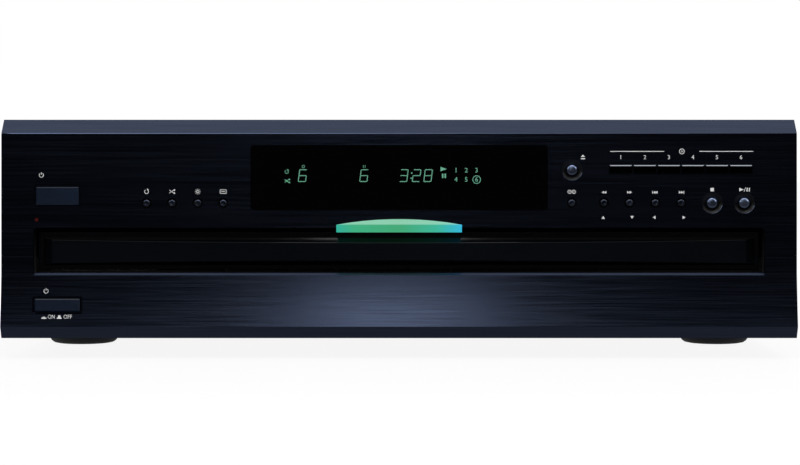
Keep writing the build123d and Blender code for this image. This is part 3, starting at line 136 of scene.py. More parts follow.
def stretched_noise_group():
    """Fine lines along X: brushing. Gives a value round 0.5."""
    group, inputs, outputs = effect_group(
        "brushing", (("Length", 20.0), ("Fineness", 3000.0)), ("Lines",))
    place = group.nodes.new("ShaderNodeTexCoord")
    parts = group.nodes.new("ShaderNodeSeparateXYZ")
    joined = group.nodes.new("ShaderNodeCombineXYZ")
    noise = group.nodes.new("ShaderNodeTexNoise")
    noise.inputs["Scale"].default_value = 1.0
    noise.inputs["Detail"].default_value = 2.0
    noise.inputs["Roughness"].default_value = 0.6
    link = group.links.new
    link(place.outputs["Object"], parts.inputs[0])
    for axis, size in (("X", "Length"), ("Y", "Fineness"), ("Z", "Fineness")):
        times = group.nodes.new("ShaderNodeMath")
        times.operation = "MULTIPLY"
        link(parts.outputs[axis], times.inputs[0])
        link(inputs.outputs[size], times.inputs[1])
        link(times.outputs[0], joined.inputs[axis])
    link(joined.outputs[0], noise.inputs["Vector"])
    link(noise.outputs["Fac"], outputs.inputs["Lines"])
    return group


def mottle_group():
    """Cloudy variation and a fine grain of a moulded or painted surface."""
    group, inputs, outputs = effect_group(
        "mottle", (("Cloud size", 30.0), ("Grain size", 2500.0)), ("Cloud", "Grain"))
    place = group.nodes.new("ShaderNodeTexCoord")
    link = group.links.new
    for size, out, detail in (("Cloud size", "Cloud", 4.0), ("Grain size", "Grain", 1.0)):
        noise = group.nodes.new("ShaderNodeTexNoise")
        noise.inputs["Detail"].default_value = detail
        link(place.outputs["Object"], noise.inputs["Vector"])
        link(inputs.outputs[size], noise.inputs["Scale"])
        link(noise.outputs["Fac"], outputs.inputs[out])
    return group


BRUSHING = stretched_noise_group()
MOTTLE = mottle_group()


# =====================================================================
# Finishes
# =====================================================================

class Finish:
    """A material with its Principled shader and short calls to add nodes to it."""

    def __init__(self, name):
        self.material = bpy.data.materials.new(name)
        self.material.use_nodes = True
        self.tree = self.material.node_tree
        self.shader = self.tree.nodes["Principled BSDF"]

    def node(self, kind, **settings):
        made = self.tree.nodes.new("ShaderNode" + kind)
        for key, value in settings.items():
            setattr(made, key, value)
        return made

    def group(self, group, **values):
        made = self.node("Group", node_tree=group)
        for key, value in values.items():
            made.inputs[key.replace("_", " ")].default_value = value
        return made

    def link(self, source, target):
        self.tree.links.new(source, target)

    def set(self, **values):
        for key, value in values.items():
            self.shader.inputs[key.replace("_", " ")].default_value = value

    def object_place(self):
        """Where a point is on the object, in metres."""
        return self.node("TexCoord").outputs["Object"]

    def axis(self, letter):
        parts = self.node("SeparateXYZ")
        self.link(self.object_place(), parts.inputs[0])
        return parts.outputs[letter]

    def ranged(self, value, reach, low=0.0, high=1.0):
        """A number that runs from low to high as value rises through reach."""
        span = self.node("MapRange")
        span.inputs["From Min"].default_value, span.inputs["From Max"].default_value = reach
        span.inputs["To Min"].default_value = low
        span.inputs["To Max"].default_value = high
        self.link(value, span.inputs["Value"])
        return span.outputs[0]

    def colours(self, mask, first, second, reach=(0.35, 0.65)):
        """Base Color runs from first to second as mask rises through reach."""
        self.blend(mask, first, second, reach, "Base Color")

    def blend(self, mask, first, second, reach, target):
        """A colour socket runs from first to second as mask rises through reach."""
        ramp = self.node("ValToRGB")
        ramp.color_ramp.elements[0].position, ramp.color_ramp.elements[1].position = reach
        ramp.color_ramp.elements[0].color = first
        ramp.color_ramp.elements[1].color = second
        self.link(mask, ramp.inputs[0])
        self.link(ramp.outputs[0], self.shader.inputs[target])

    def spread(self, mask, target, low, high, reach=(0.3, 0.7)):
        """A number socket runs from low to high as mask rises through reach."""
        self.link(self.ranged(mask, reach, low, high), self.shader.inputs[target])

    def relief(self, height, strength, depth):
        """Bumps that follow height, depth in metres."""
        bump = self.node("Bump")
        bump.inputs["Strength"].default_value = strength
        bump.inputs["Distance"].default_value = depth
        self.link(height, bump.inputs["Height"])
        self.link(bump.outputs[0], self.shader.inputs["Normal"])


def moulded(name, colour, lighter, rough=0.45, grain=2600.0, depth=0.00004, cloud=30.0,
            shine=0.5):
    """Textured plastic."""
    made = Finish(name)
    mottle = made.group(MOTTLE, Cloud_size=cloud, Grain_size=grain)
    made.colours(mottle.outputs["Cloud"], colour, lighter)
    made.spread(mottle.outputs["Cloud"], "Roughness", rough - 0.05, rough + 0.07)
    made.relief(mottle.outputs["Grain"], 0.35, depth)
    made.set(Specular_IOR_Level=shine)
    return made.material


def glossy(name, colour, lighter, rough=0.08, coat=0.0, shine=0.5):
    """Polished plastic with faint polishing haze."""
    made = Finish(name)
    mottle = made.group(MOTTLE, Cloud_size=18.0, Grain_size=900.0)
    made.colours(mottle.outputs["Cloud"], colour, lighter)
    made.spread(mottle.outputs["Grain"], "Roughness", rough, rough + 0.05)
    made.relief(mottle.outputs["Cloud"], 0.03, 0.0002)
    made.set(Coat_Weight=coat, Specular_IOR_Level=shine)
    return made.material


def brushed(name, colour, lighter, rough=0.34, metallic=1.0, length=20.0, fineness=2600.0):
    """Brushed metal with its lines along X."""
    made = Finish(name)
    lines = made.group(BRUSHING, Length=length, Fineness=fineness)
    made.colours(lines.outputs["Lines"], colour, lighter)
    made.spread(lines.outputs["Lines"], "Roughness", rough - 0.05, rough + 0.08)
    made.relief(lines.outputs["Lines"], 0.25, 0.00002)
    made.set(Metallic=metallic)
    return made.material


def metal(name, colour, lighter, rough=0.25, grain=1800.0):
    """Plated or ground metal."""
    made = Finish(name)
    mottle = made.group(MOTTLE, Cloud_size=60.0, Grain_size=grain)
    made.colours(mottle.outputs["Cloud"], colour, lighter)
    made.spread(mottle.outputs["Cloud"], "Roughness", rough - 0.06, rough + 0.08)
    made.relief(mottle.outputs["Grain"], 0.08, 0.00002)
    made.set(Metallic=1.0)
    return made.material


def glowing(name, colour, edge, strength):
    """A lit mark: brightest where the tube's coating is thickest."""
    made = Finish(name)
    mottle = made.group(MOTTLE, Cloud_size=900.0, Grain_size=4000.0)
    made.colours(mottle.outputs["Cloud"], colour, edge)
    made.blend(mottle.outputs["Cloud"], edge, colour, (0.2, 0.5), "Emission Color")
    made.set(Emission_Strength=strength, Roughness=0.4)
    return made.material


LENS_ENDS = (-34.5 * MM, 34.5 * MM)        # left and right end of the lens
LENS_FACET_HIGHLIGHT = (73.2 * MM, 74.2 * MM)        # heights between which its facet turns pale: a painted highlight, as if lit from above
LENS_STOPS = (                             # glow from the left end to the right
    (0.0, screen(44, 168, 152)),
    (0.14, screen(62, 168, 124)),
    (0.5, screen(66, 160, 110)),
    (0.8, screen(60, 176, 150)),
    (1.0, screen(48, 180, 222)),
)


def lens_finish():
    """Clear green plastic lit from behind: cyan at the right end, and a paler facet on top, which
    is a painted highlight standing in for light from above.
    """
    made = Finish("lit_green_lens")
    ramp = made.node("ValToRGB")
    while len(ramp.color_ramp.elements) < len(LENS_STOPS):
        ramp.color_ramp.elements.new(0.5)
    for element, (position, colour) in zip(ramp.color_ramp.elements, LENS_STOPS):
        element.position = position
        element.color = colour
    made.link(made.ranged(made.axis("X"), LENS_ENDS), ramp.inputs[0])
    # Painted highlight: the top facet's glow is made paler, standing in for light that falls on
    # it from above.
    pale = made.node("Mix", data_type="RGBA")
    pale.inputs["B"].default_value = screen(150, 205, 180)
    dim = made.node("Math", operation="MULTIPLY")
    dim.inputs[1].default_value = 0.75
    made.link(made.ranged(made.axis("Z"), LENS_FACET_HIGHLIGHT), dim.inputs[0])
    made.link(dim.outputs[0], pale.inputs["Factor"])
    made.link(ramp.outputs[0], pale.inputs["A"])
    made.link(pale.outputs["Result"], made.shader.inputs["Emission Color"])
    mottle = made.group(MOTTLE, Cloud_size=60.0)
    made.colours(mottle.outputs["Cloud"], screen(18, 66, 48), screen(24, 76, 56))
    ribs = made.node("TexWave", wave_type="BANDS", bands_direction="X")
    ribs.inputs["Scale"].default_value = 160.0
    made.link(made.object_place(), ribs.inputs["Vector"])
    made.relief(ribs.outputs["Fac"], 0.2, 0.0001)
    made.set(Emission_Strength=0.9, Roughness=0.12)
    return made.material


def window_finish():
    """Smoked plastic, almost black, clear enough for the lit tube behind it."""
    made = Finish("smoked_window")
    mottle = made.group(MOTTLE, Cloud_size=12.0, Grain_size=600.0)
    made.colours(mottle.outputs["Cloud"], screen(46, 56, 57), screen(52, 62, 63))
    made.spread(mottle.outputs["Grain"], "Roughness", 0.015, 0.04)
    made.set(Transmission_Weight=1.0, IOR=1.45)
    return made.material


def board_finish():
    """Green circuit board, with paler tracks under its lacquer."""
    made = Finish("circuit_board")
    tracks = made.node("TexBrick")
    tracks.inputs["Scale"].default_value = 180.0
    tracks.inputs["Mortar Size"].default_value = 0.09
    tracks.inputs["Color1"].default_value = screen(18, 74, 38)
    tracks.inputs["Color2"].default_value = screen(22, 84, 44)
    tracks.inputs["Mortar"].default_value = screen(52, 122, 70)
    made.link(made.object_place(), tracks.inputs["Vector"])
    made.link(tracks.outputs["Color"], made.shader.inputs["Base Color"])
    made.relief(tracks.outputs["Fac"], 0.3, 0.00004)
    made.set(Roughness=0.35)
    return made.material


def metal_with_painted_top_highlight(name, face, edge, rough):
    """Dark metal caps whose upward-facing chamfers get a painted highlight: the colour turns
    bright wherever a face points up.
    """
    made = Finish(name)
    side = made.node("NewGeometry")
    parts = made.node("SeparateXYZ")
    made.link(side.outputs["Normal"], parts.inputs[0])
    # Painted highlight: the colour turns bright as a face turns upwards, standing in for light
    # from above.
    made.colours(parts.outputs["Z"], face, edge, (0.4, 0.6))
    mottle = made.group(MOTTLE, Cloud_size=60.0, Grain_size=1800.0)
    made.spread(mottle.outputs["Cloud"], "Roughness", rough - 0.04, rough + 0.06)
    made.relief(mottle.outputs["Grain"], 0.05, 0.00002)
    made.set(Metallic=1.0)
    return made.material


FASCIA_DARK, FASCIA_LIGHT = screen(52, 60, 78), screen(60, 68, 87)
FINISHES = {
    "fascia": brushed("blue_black_brushed_fascia", FASCIA_DARK, FASCIA_LIGHT, 0.18, 1.0),
    "window": window_finish(),
    "lens": lens_finish(),
    "moulding": moulded("black_moulding", grey(13), grey(17), 0.5),
    "sheet_steel": moulded("black_painted_steel", grey(26), grey(31), 0.42, 1800.0, 0.00006, 9.0),
    "plated_steel": metal("plated_sheet_steel", grey(150), grey(168), 0.38),
    "screw_steel": metal("blackened_screws", grey(52), grey(66), 0.35),
    "foot_moulding": moulded("foot_moulding", screen(13, 14, 20), screen(17, 18, 25), 0.5,
                             1500.0),
    "display_tube": glossy("display_tube_glass", screen(6, 9, 9), screen(9, 13, 12), 0.1),
    "board": board_finish(),
    "lamp": glossy("dark_red_lamp", screen(46, 9, 8), screen(60, 12, 10), 0.15),
    "transformer": moulded("transformer_core", screen(66, 58, 50), screen(84, 74, 62), 0.5,
                           700.0),
    "socket_body": moulded("black_socket_moulding", grey(24), grey(30), 0.4),
    "contact": metal("plated_contacts", screen(206, 196, 168), screen(222, 214, 190), 0.2),
    "motor": metal("motor_cans", grey(168), grey(190), 0.3),
    "belt": moulded("rubber_belt", grey(20), grey(26), 0.7, 1200.0),
    "gear_white": moulded("white_nylon_gears", grey(214), grey(226), 0.45),
    "gear_grey": moulded("grey_acetal", grey(120), grey(132), 0.42),
    "drawer_face": glossy("gloss_black_drawer_front", screen(2, 4, 7), screen(4, 6, 10), 0.07,
                          0.25),
    "drawer_tray": moulded("drawer_moulding", grey(16), grey(21), 0.46),
    "carousel": moulded("carousel_moulding", grey(34), grey(42), 0.4, 2200.0, 0.00003),
    "steel_rod": metal("ground_rods", grey(190), grey(206), 0.16),
    "pickup": moulded("pickup_moulding", grey(30), grey(38), 0.42),
    "button_bright": metal("polished_button_caps", screen(104, 116, 142),
                           screen(122, 134, 160), 0.3),
    "button_dark": glossy("dark_buttons", screen(11, 19, 31), screen(15, 24, 38), 0.16),
}


def repaint(node, material):
    """Gives all of a CAD node one finish."""
    for place in NODES[node].material_slots:
        place.material = material


for entry in frame["record"]["subparts"]:
    repaint(entry["node"], FINISHES[entry["material_slot"]])

CAP_METAL = metal("dished_dark_caps", screen(60, 66, 80), screen(72, 78, 94), 0.24)
# Disc bars: dark metal, with a painted highlight on their upward chamfers.
BAR_METAL_WITH_PAINTED_HIGHLIGHT = metal_with_painted_top_highlight("dark_bars_with_painted_top_highlight", screen(16, 18, 24), screen(178, 183, 194),
                  0.18)
# Near-black and matte: painted shade on the slot's floor under the drawer.
SHADE_BLACK = moulded("painted_shade_black", grey(3), grey(6), 0.85, 1400.0, shine=0.05)
BLACK = glossy("black_button_rings", grey(4), grey(7), 0.34, shine=0.18)
WHITE_RING = glossy("white_socket_rings", grey(190), grey(204), 0.3)
RED_RING = glossy("red_socket_rings", screen(150, 22, 20), screen(168, 30, 26), 0.3)
ORANGE_RING = glossy("orange_socket_rings", screen(190, 96, 20), screen(206, 110, 30), 0.3)
# Painted shade: a dark colour standing for the hollow of each screw's cross recess.
RECESS_SHADE = metal("screw_recesses", grey(24), grey(32), 0.5)
INK = moulded("printed_ink", grey(176), grey(196), 0.5, 5000.0, 0.00001, 400.0)
LIT_GREEN = glowing("lit_green_segments", screen(184, 244, 205), screen(150, 232, 178),
                    10.0)


# =====================================================================
# Making pieces
# =====================================================================

def alone(piece):
    """Selects one piece and makes it active."""
    bpy.ops.object.select_all(action="DESELECT")
    piece.select_set(True)
    bpy.context.view_layer.objects.active = piece


def settle(piece):
    """Puts the piece's place, turn and size into its mesh."""
    alone(piece)
    bpy.ops.object.transform_apply(location=True, rotation=True, scale=True)


def joined(name, shapes):
    """Several shapes as one piece."""
    alone(shapes[0])
    for shape in shapes:
        shape.select_set(True)
    if len(shapes) > 1:
        bpy.ops.object.join()
    piece = bpy.context.view_layer.objects.active
    piece.name = name
    piece.data.name = name
    return piece


def finished(piece, material, body):
    """One finish on the piece, and the body that it moves with."""
    piece.data.materials.clear()
    piece.data.materials.append(material)
    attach(piece, body)
    return piece


def print_on_front(name, shapes, y=FACE_Y, thickness=PRINT_T, material=INK, body="casing"):
    """Flat shapes drawn in the plane of the front, made into a thin printed layer at y."""
    piece = joined(name, shapes)
    alone(piece)
    bpy.ops.object.mode_set(mode="EDIT")
    bpy.ops.mesh.select_all(action="SELECT")
    bpy.ops.mesh.normals_make_consistent(inside=False)
    bpy.ops.mesh.extrude_region_move(
        TRANSFORM_OT_translate={"value": (0, -thickness * MM, 0)})
    bpy.ops.mesh.select_all(action="SELECT")
    bpy.ops.mesh.normals_make_consistent(inside=False)
    bpy.ops.transform.translate(value=(0, (y - PRINT_SINK) * MM, 0))
    bpy.ops.object.mode_set(mode="OBJECT")
    return finished(piece, material, body)


def flare_reach(z):
    """How far the flared lower part stands in front of the face at height z."""
    drop = max(FLARE_TOP_Z - z, 0)
    return FLARE_SLOPE * drop + FLARE_CURVE * drop * drop


def print_on_flare(name, shapes):
    """A printed layer that follows the flared lower part."""
    piece = print_on_front(name, shapes)
    for point in piece.data.vertices:
        point.co.y -= flare_reach(point.co.z / MM) * MM


def bar(x, z, width, height, turn=0.0):
    """A flat bar centred on (x, z), in the plane of the front."""
    bpy.ops.mesh.primitive_plane_add(size=1, location=(x * MM, 0, z * MM),
                                     rotation=(math.pi / 2, 0, 0))
    shape = bpy.context.object
    shape.rotation_euler = (math.pi / 2, turn, 0)
    shape.scale = (width * MM, height * MM, 1)
    settle(shape)
    return shape


def triangle(x, z, width, height, points_to=0.0):
    """A flat triangle; points_to is the way its tip points, in degrees from +X."""
    bpy.ops.mesh.primitive_circle_add(vertices=3, radius=1, fill_type="NGON", location=(0, 0, 0))
    shape = bpy.context.object
    shape.rotation_euler = (0, 0, -math.pi / 2)
    settle(shape)
    low, high = Vector(shape.bound_box[0]), Vector(shape.bound_box[6])
    size = high - low
    shape.scale = (width * MM / size.x, height * MM / size.y, 1)
    shape.location = (-(low.x + high.x) / 2 * width * MM / size.x, 0, 0)
    settle(shape)
    shape.rotation_euler = (math.pi / 2, 0, 0)
    settle(shape)
    shape.rotation_euler = (0, -math.radians(points_to), 0)
    shape.location = (x * MM, 0, z * MM)
    settle(shape)
    return shape


def ring(x, z, radius, width, gap=0.0, vertices=40):
    """A flat ring; gap is the angle left open at its top, in degrees."""
    bpy.ops.mesh.primitive_circle_add(vertices=vertices, radius=radius * MM,
                                      fill_type="NGON", location=(x * MM, 0, z * MM),
                                      rotation=(math.pi / 2, 0, 0))
    shape = bpy.context.object
    settle(shape)
    bpy.ops.object.mode_set(mode="EDIT")
    bpy.ops.mesh.select_all(action="SELECT")
    bpy.ops.mesh.inset(thickness=width * MM, depth=0)
    bpy.ops.mesh.delete(type="FACE")
    bpy.ops.object.mode_set(mode="OBJECT")
    if gap:
        bpy.ops.object.mode_set(mode="EDIT")
        bpy.ops.mesh.select_mode(type="FACE")
        bpy.ops.object.mode_set(mode="OBJECT")
        for face in shape.data.polygons:
            middle = face.center
            angle = math.degrees(math.atan2(middle.x - x * MM, middle.z - z * MM))
            face.select = abs(angle) < gap / 2
        bpy.ops.object.mode_set(mode="EDIT")
        bpy.ops.mesh.delete(type="FACE")
        bpy.ops.object.mode_set(mode="OBJECT")
    return shape


def flat_text(text, size, resolution, thickness=0.0):
    """Numbers or a word as a mesh, centred on the origin and lying flat; sizes in metres."""
    bpy.ops.object.text_add(location=(0, 0, 0))
    shape = bpy.context.object
    shape.data.body = text
    shape.data.align_x = shape.data.align_y = "CENTER"
    shape.data.size = size
    shape.data.extrude = thickness
    shape.data.resolution_u = resolution
    alone(shape)
    bpy.ops.object.convert(target="MESH")
    return bpy.context.object


def lettering(text, x, z, height, width=None):
    """Flat numbers or a word, centred on (x, z), with capitals of the given height."""
    shape = flat_text(text, height * MM / CAPITAL_SHARE, 3)
    if width:
        shape.scale.x = width * MM / shape.dimensions.x
    shape.rotation_euler = (math.pi / 2, 0, 0)
    shape.location = (x * MM, 0, z * MM)
    settle(shape)
    return shape


# =====================================================================
# Printed marks on the fascia
# =====================================================================

def disc_select_marks():
    """Numbers 1 to 6 over the disc bars, and the bracket line over them."""
    number_z, line_z, disc_x = 110.3, 113.6, 154.6
    shapes = [lettering(str(i + 1), x, number_z, 2.2) for i, x in enumerate(BAR_X)]
    for low, high in ((115.3, 145.0), (164.2, 193.6)):
        shapes.append(bar((low + high) / 2, line_z, high - low, 0.35))
    shapes += [ring(disc_x, line_z, 1.5, 0.35), ring(disc_x, line_z, 0.5, 0.2)]
    print_on_front("disc_select_marks", shapes)


def double_arrow(x, z, step, width):
    """Two arrow heads in a row; they point to +X, or to -X with a step below zero."""
    way = 0 if step > 0 else 180
    return [triangle(x + side * step / 2, z, width, 1.6, way) for side in (-1, 1)]


def transport_marks():
    """The usual symbols for eject, stop, play, pause, search and skip."""
    big_z, small_z = 92.7, 91.2
    shapes = [triangle(100.5, 111.2, 1.3, 2.3, 90), bar(100.5, 109.6, 2.3, 0.5),
              bar(171.2, big_z, 1.9, 1.9), triangle(187.2, big_z, 2.4, 2.0),
              bar(190.3, big_z, 0.6, 2.0), bar(191.5, big_z, 0.6, 2.0),
              bar(189.0, big_z, 0.3, 2.4, math.radians(20))]
    for x, step in ((112.0, -1.3), (126.0, 1.3)):
        shapes += double_arrow(x, small_z, step, 1.4)
    for x, step in ((140.1, -1.2), (154.2, 1.2)):
        shapes += double_arrow(x, small_z, step, 1.3)
        shapes.append(bar(x + 1.25 * step, small_z, 0.4, 1.6))
    print_on_front("transport_marks", shapes)


def folder_marks():
    """Small arrow heads under the four transport keys."""
    places = ((111.6, 90), (127.4, -90), (139.4, 180), (155.8, 0))
    print_on_front("folder_marks",
                   [triangle(x, 77.5, 1.6, 1.9, points_to) for x, points_to in places])


def crossing_arrows(x, z, length, stroke, tip_x, tip_rise, tip_width, tip_height):
    """Two crossing strokes, each with an arrow head at its right-hand end."""
    shapes = [bar(x, z, length, stroke, turn) for turn in (-0.6, 0.6)]
    for side in (1, -1):
        shapes.append(triangle(tip_x, z + side * tip_rise, tip_width, tip_height, 30 * side))
    return shapes


def play_mode_marks():
    """Symbols over the four small keys: repeat loop, crossing arrows, sun, window."""
    z, sun_x, window_x, ray_radius = 91.6, -110.1, -96.2, 1.35
    shapes = [ring(-138.1, z, 1.25, 0.32, 70), triangle(-137.3, z + 1.15, 1.0, 1.1, 0)]
    shapes += crossing_arrows(-124.4, z, 3.0, 0.32, -122.7, 0.95, 1.0, 1.1)
    shapes.append(ring(sun_x, z, 0.8, 0.3))
    for i in range(8):
        angle = math.radians(45 * i)
        shapes.append(bar(sun_x + ray_radius * math.cos(angle),
                          z + ray_radius * math.sin(angle), 0.5, 0.25, -angle))
    shapes += [bar(window_x, z + 1.0, 3.6, 0.3), bar(window_x, z - 1.0, 3.6, 0.3),
               bar(-97.85, z, 0.3, 2.0), bar(-94.55, z, 0.3, 2.0),
               bar(window_x, z, 2.0, 0.3)]
    print_on_front("play_mode_marks", shapes)


def skip_mark():
    """Two discs side by side over the disc skip key."""
    print_on_front("disc_skip_mark",
                   [ring(x, 91.5, radius, width)
                    for radius, width in ((1.1, 0.3), (0.35, 0.15)) for x in (93.2, 95.6)])


def power_symbol(x, z, radius):
    """A ring open at its top, with a stroke in the opening."""
    stroke = radius * 0.24
    return [ring(x, z, radius, stroke, 70), bar(x, z + radius * 0.7, stroke, radius)]


def power_marks():
    """The standby and power symbols, and ON and OFF under the power key."""
    symbol_radius, foot_z, word_z, word_height = 1.3, 22.6, 23.3, 2.1
    print_on_front("standby_mark", power_symbol(-195.6, 100.6, symbol_radius))
    shapes = power_symbol(-192.9, 37.3, symbol_radius)
    shapes += [bar(-193.8, foot_z, 2.8, 0.6), bar(-193.8, 23.1, 1.5, 0.5),
               lettering("ON", -189.7, word_z, word_height, 3.7),
               bar(-185.4, foot_z, 2.6, 0.6), bar(-185.4, 23.5, 1.4, 1.3),
               lettering("OFF", -180.8, word_z, word_height, 4.6)]
    print_on_flare("power_marks", shapes)


# =====================================================================
# Display
# =====================================================================

SEGMENTS = {"6": "acdefg", "3": "abcdg", "2": "abdeg", "8": "abcdefg"}
DIGITS = (("6", -52.9), ("6", -19.2), ("3", 2.6), ("2", 9.6), ("8", 15.9))
DIGIT_Z = 100.3
LEAN = 0.12                    # slant of the digits


def digit(figure, x, z, width, height, stroke):
    """Seven-segment figure: its lit bars, with gaps between them."""
    half_w, half_h = (width - stroke) / 2, (height - stroke) / 2
    flat_bar = (width - 1.7 * stroke, stroke)
    tall_bar = (stroke, half_h - stroke * 0.35)
    places = {
        "a": (0, half_h, *flat_bar), "g": (0, 0, *flat_bar), "d": (0, -half_h, *flat_bar),
        "f": (-half_w, half_h / 2, *tall_bar), "b": (half_w, half_h / 2, *tall_bar),
        "e": (-half_w, -half_h / 2, *tall_bar), "c": (half_w, -half_h / 2, *tall_bar),
    }
    shapes = []
    for name in SEGMENTS[figure]:
        dx, dz, w, h = places[name]
        shape = bar(x + dx + dz * LEAN, z + dz, w, h)
        for point in shape.data.vertices:
            point.co.x += (point.co.z - (z + dz) * MM) * LEAN
        shapes.append(shape)
    return shapes


def display_figures():
    """The disc, the track and the time, with the colon's two dots."""
    shapes = []
    for figure, x in DIGITS:
        shapes += digit(figure, x, DIGIT_Z, 4.4, 6.9, 0.42)
    shapes += [bar(6.9, DIGIT_Z + 1.4, 0.7, 0.7), bar(6.6, DIGIT_Z - 1.4, 0.7, 0.7)]
    print_on_front("display_figures", shapes, TUBE_Y, PRINT_T, LIT_GREEN)


def display_symbols():
    """Play and pause, the discs' numbers with the last one ringed, and small signs.

    Repeat loop and crossing arrows stand at the left, a disc and two strokes over the digits.
    """
    upper_z, lower_z, sign_z = 103.1, 98.1, 105.3
    shapes = [triangle(24.4, 103.9, 3.4, 2.4),
              bar(23.9, 100.2, 0.8, 2.4), bar(25.3, 100.2, 0.8, 2.4)]
    for i in range(DISCS):
        x, z = 31.2 + 5.63 * (i % 3), upper_z if i < 3 else lower_z
        shapes.append(lettering(str(i + 1), x, z, 2.5))
    shapes.append(ring(42.5, lower_z, 2.3, 0.35))
    shapes += [ring(-61.6, 102.4, 1.1, 0.3, 60), triangle(-60.9, 103.4, 0.9, 1.0)]
    shapes += crossing_arrows(-61.6, 97.4, 2.8, 0.3, -60.0, 0.9, 0.9, 1.0)
    shapes += [ring(-52.5, sign_z, 0.8, 0.22),
               bar(-19.6, sign_z, 0.25, 1.4), bar(-18.6, sign_z, 0.25, 1.4)]
    print_on_front("display_symbols", shapes, TUBE_Y, PRINT_T, LIT_GREEN)


# =====================================================================
# Carousel numbers
# =====================================================================

NUMBER_RADIUS = 172 * MM       # of the ring on which the numbers stand
NUMBER_SIZE = 0.011
NUMBER_HALF_T = 0.00012
NUMBER_LIFT = 0.0001           # from the carousel's top to the numbers' mid-plane
FIRST_NUMBER_ANGLE = 120
NUMBER_STEP = 60


def carousel_numbers():
    """Each well's number, raised on the carousel near its rim."""
    shapes = []
    for i in range(DISCS):
        angle = math.radians(FIRST_NUMBER_ANGLE + NUMBER_STEP * i)
        shape = flat_text(str(i + 1), NUMBER_SIZE, 4, NUMBER_HALF_T)
        shape.location = (NUMBER_RADIUS * math.cos(angle),
                          CENTRE_Y * MM + NUMBER_RADIUS * math.sin(angle),
                          CAROUSEL_TOP * MM + NUMBER_LIFT)
        shape.rotation_euler = (0, 0, angle - math.pi / 2)
        settle(shape)
        shapes.append(shape)
    finished(joined("carousel_numbers", shapes), INK, "carousel_body")


# =====================================================================
# Caps, rings, feet and screws
# =====================================================================

def turned(name, x, z, steps, vertices=32, upright=False):
    """A turned solid: rings of (radius, place along the axis), from its back to its front.

    The axis runs through (x, z) along Y, or through (x, y) along Z when upright.
    """
    def on_axis(across, second, along):
        return (across, second, along) if upright else (across, along, second)

    radius, start = steps[0]
    bpy.ops.object.select_all(action="DESELECT")
    bpy.ops.mesh.primitive_circle_add(vertices=vertices, radius=radius * MM,
                                      fill_type="NGON",
                                      location=on_axis(x * MM, z * MM, start * MM),
                                      rotation=(0 if upright else math.pi / 2, 0, 0))
    piece = bpy.context.object
    settle(piece)
    bpy.ops.object.mode_set(mode="EDIT")
    bpy.ops.mesh.select_all(action="SELECT")
    for next_radius, stop in steps[1:]:
        grow = next_radius / radius
        bpy.ops.mesh.extrude_region_move(
            TRANSFORM_OT_translate={"value": on_axis(0, 0, (stop - start) * MM)})
        bpy.ops.transform.resize(value=on_axis(grow, grow, 1),
                                 center_override=on_axis(x * MM, z * MM, stop * MM))
        radius, start = next_radius, stop
    bpy.ops.mesh.select_all(action="SELECT")
    bpy.ops.mesh.normals_make_consistent(inside=False)
    bpy.ops.object.mode_set(mode="OBJECT")
    piece.name = piece.data.name = name
    alone(piece)
    bpy.ops.object.shade_smooth_by_angle(angle=math.radians(TURNED_SMOOTHING))
    return piece


def plate(name, low, high, edge):
    """A block from corner to corner with softened edges, in millimetres."""
    bpy.ops.object.select_all(action="DESELECT")
    middle = [(a + b) / 2 * MM for a, b in zip(low, high)]
    bpy.ops.mesh.primitive_cube_add(size=1, location=middle)
    piece = bpy.context.object
    piece.scale = [(b - a) * MM for a, b in zip(low, high)]
    settle(piece)
    soften = piece.modifiers.new("edges", "BEVEL")
    soften.width = edge * MM
    soften.segments = 2
    bpy.ops.object.modifier_apply(modifier=soften.name)
    piece.name = piece.data.name = name
    return piece


def open_ring(name, x, z, inner, outer, thickness, vertices=40):
    """A thin turned ring; inner and outer are (radius, y) of its two edges."""
    bpy.ops.object.select_all(action="DESELECT")
    bpy.ops.mesh.primitive_circle_add(vertices=vertices, radius=inner[0] * MM,
                                      location=(x * MM, inner[1] * MM, z * MM),
                                      rotation=(math.pi / 2, 0, 0))
    piece = bpy.context.object
    settle(piece)
    bpy.ops.object.mode_set(mode="EDIT")
    bpy.ops.mesh.select_mode(type="VERT")
    bpy.ops.mesh.select_all(action="SELECT")
    bpy.ops.mesh.extrude_edges_move(
        TRANSFORM_OT_translate={"value": (0, (outer[1] - inner[1]) * MM, 0)})
    grow = outer[0] / inner[0]
    bpy.ops.transform.resize(value=(grow, 1, grow),
                             center_override=(x * MM, outer[1] * MM, z * MM))
    bpy.ops.mesh.select_all(action="SELECT")
    bpy.ops.mesh.normals_make_consistent(inside=False)
    bpy.ops.object.mode_set(mode="OBJECT")
    wall = piece.modifiers.new("wall", "SOLIDIFY")
    wall.thickness = thickness * MM
    wall.offset = 0
    bpy.ops.object.modifier_apply(modifier=wall.name)
    piece.name = piece.data.name = name
    bpy.ops.object.shade_smooth_by_angle(angle=math.radians(TURNED_SMOOTHING))
    return piece


def body_of(node):
    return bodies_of(NODES[node])[0]


def centre(node):
    low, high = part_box(node)
    return (low + high) / 2


FLANGE = (FACE_Y + 3.2, FACE_Y + 4.2)      # the caps' flanges behind the fascia
SOFT_EDGE = 0.15
POST_HALF = 1                              # half the width of the post behind a flange
POLISHED_BUTTONS = ("eject_button", "stop_button", "play_pause_button")
OBLONG_BUTTONS = ("standby_button", "power_button")

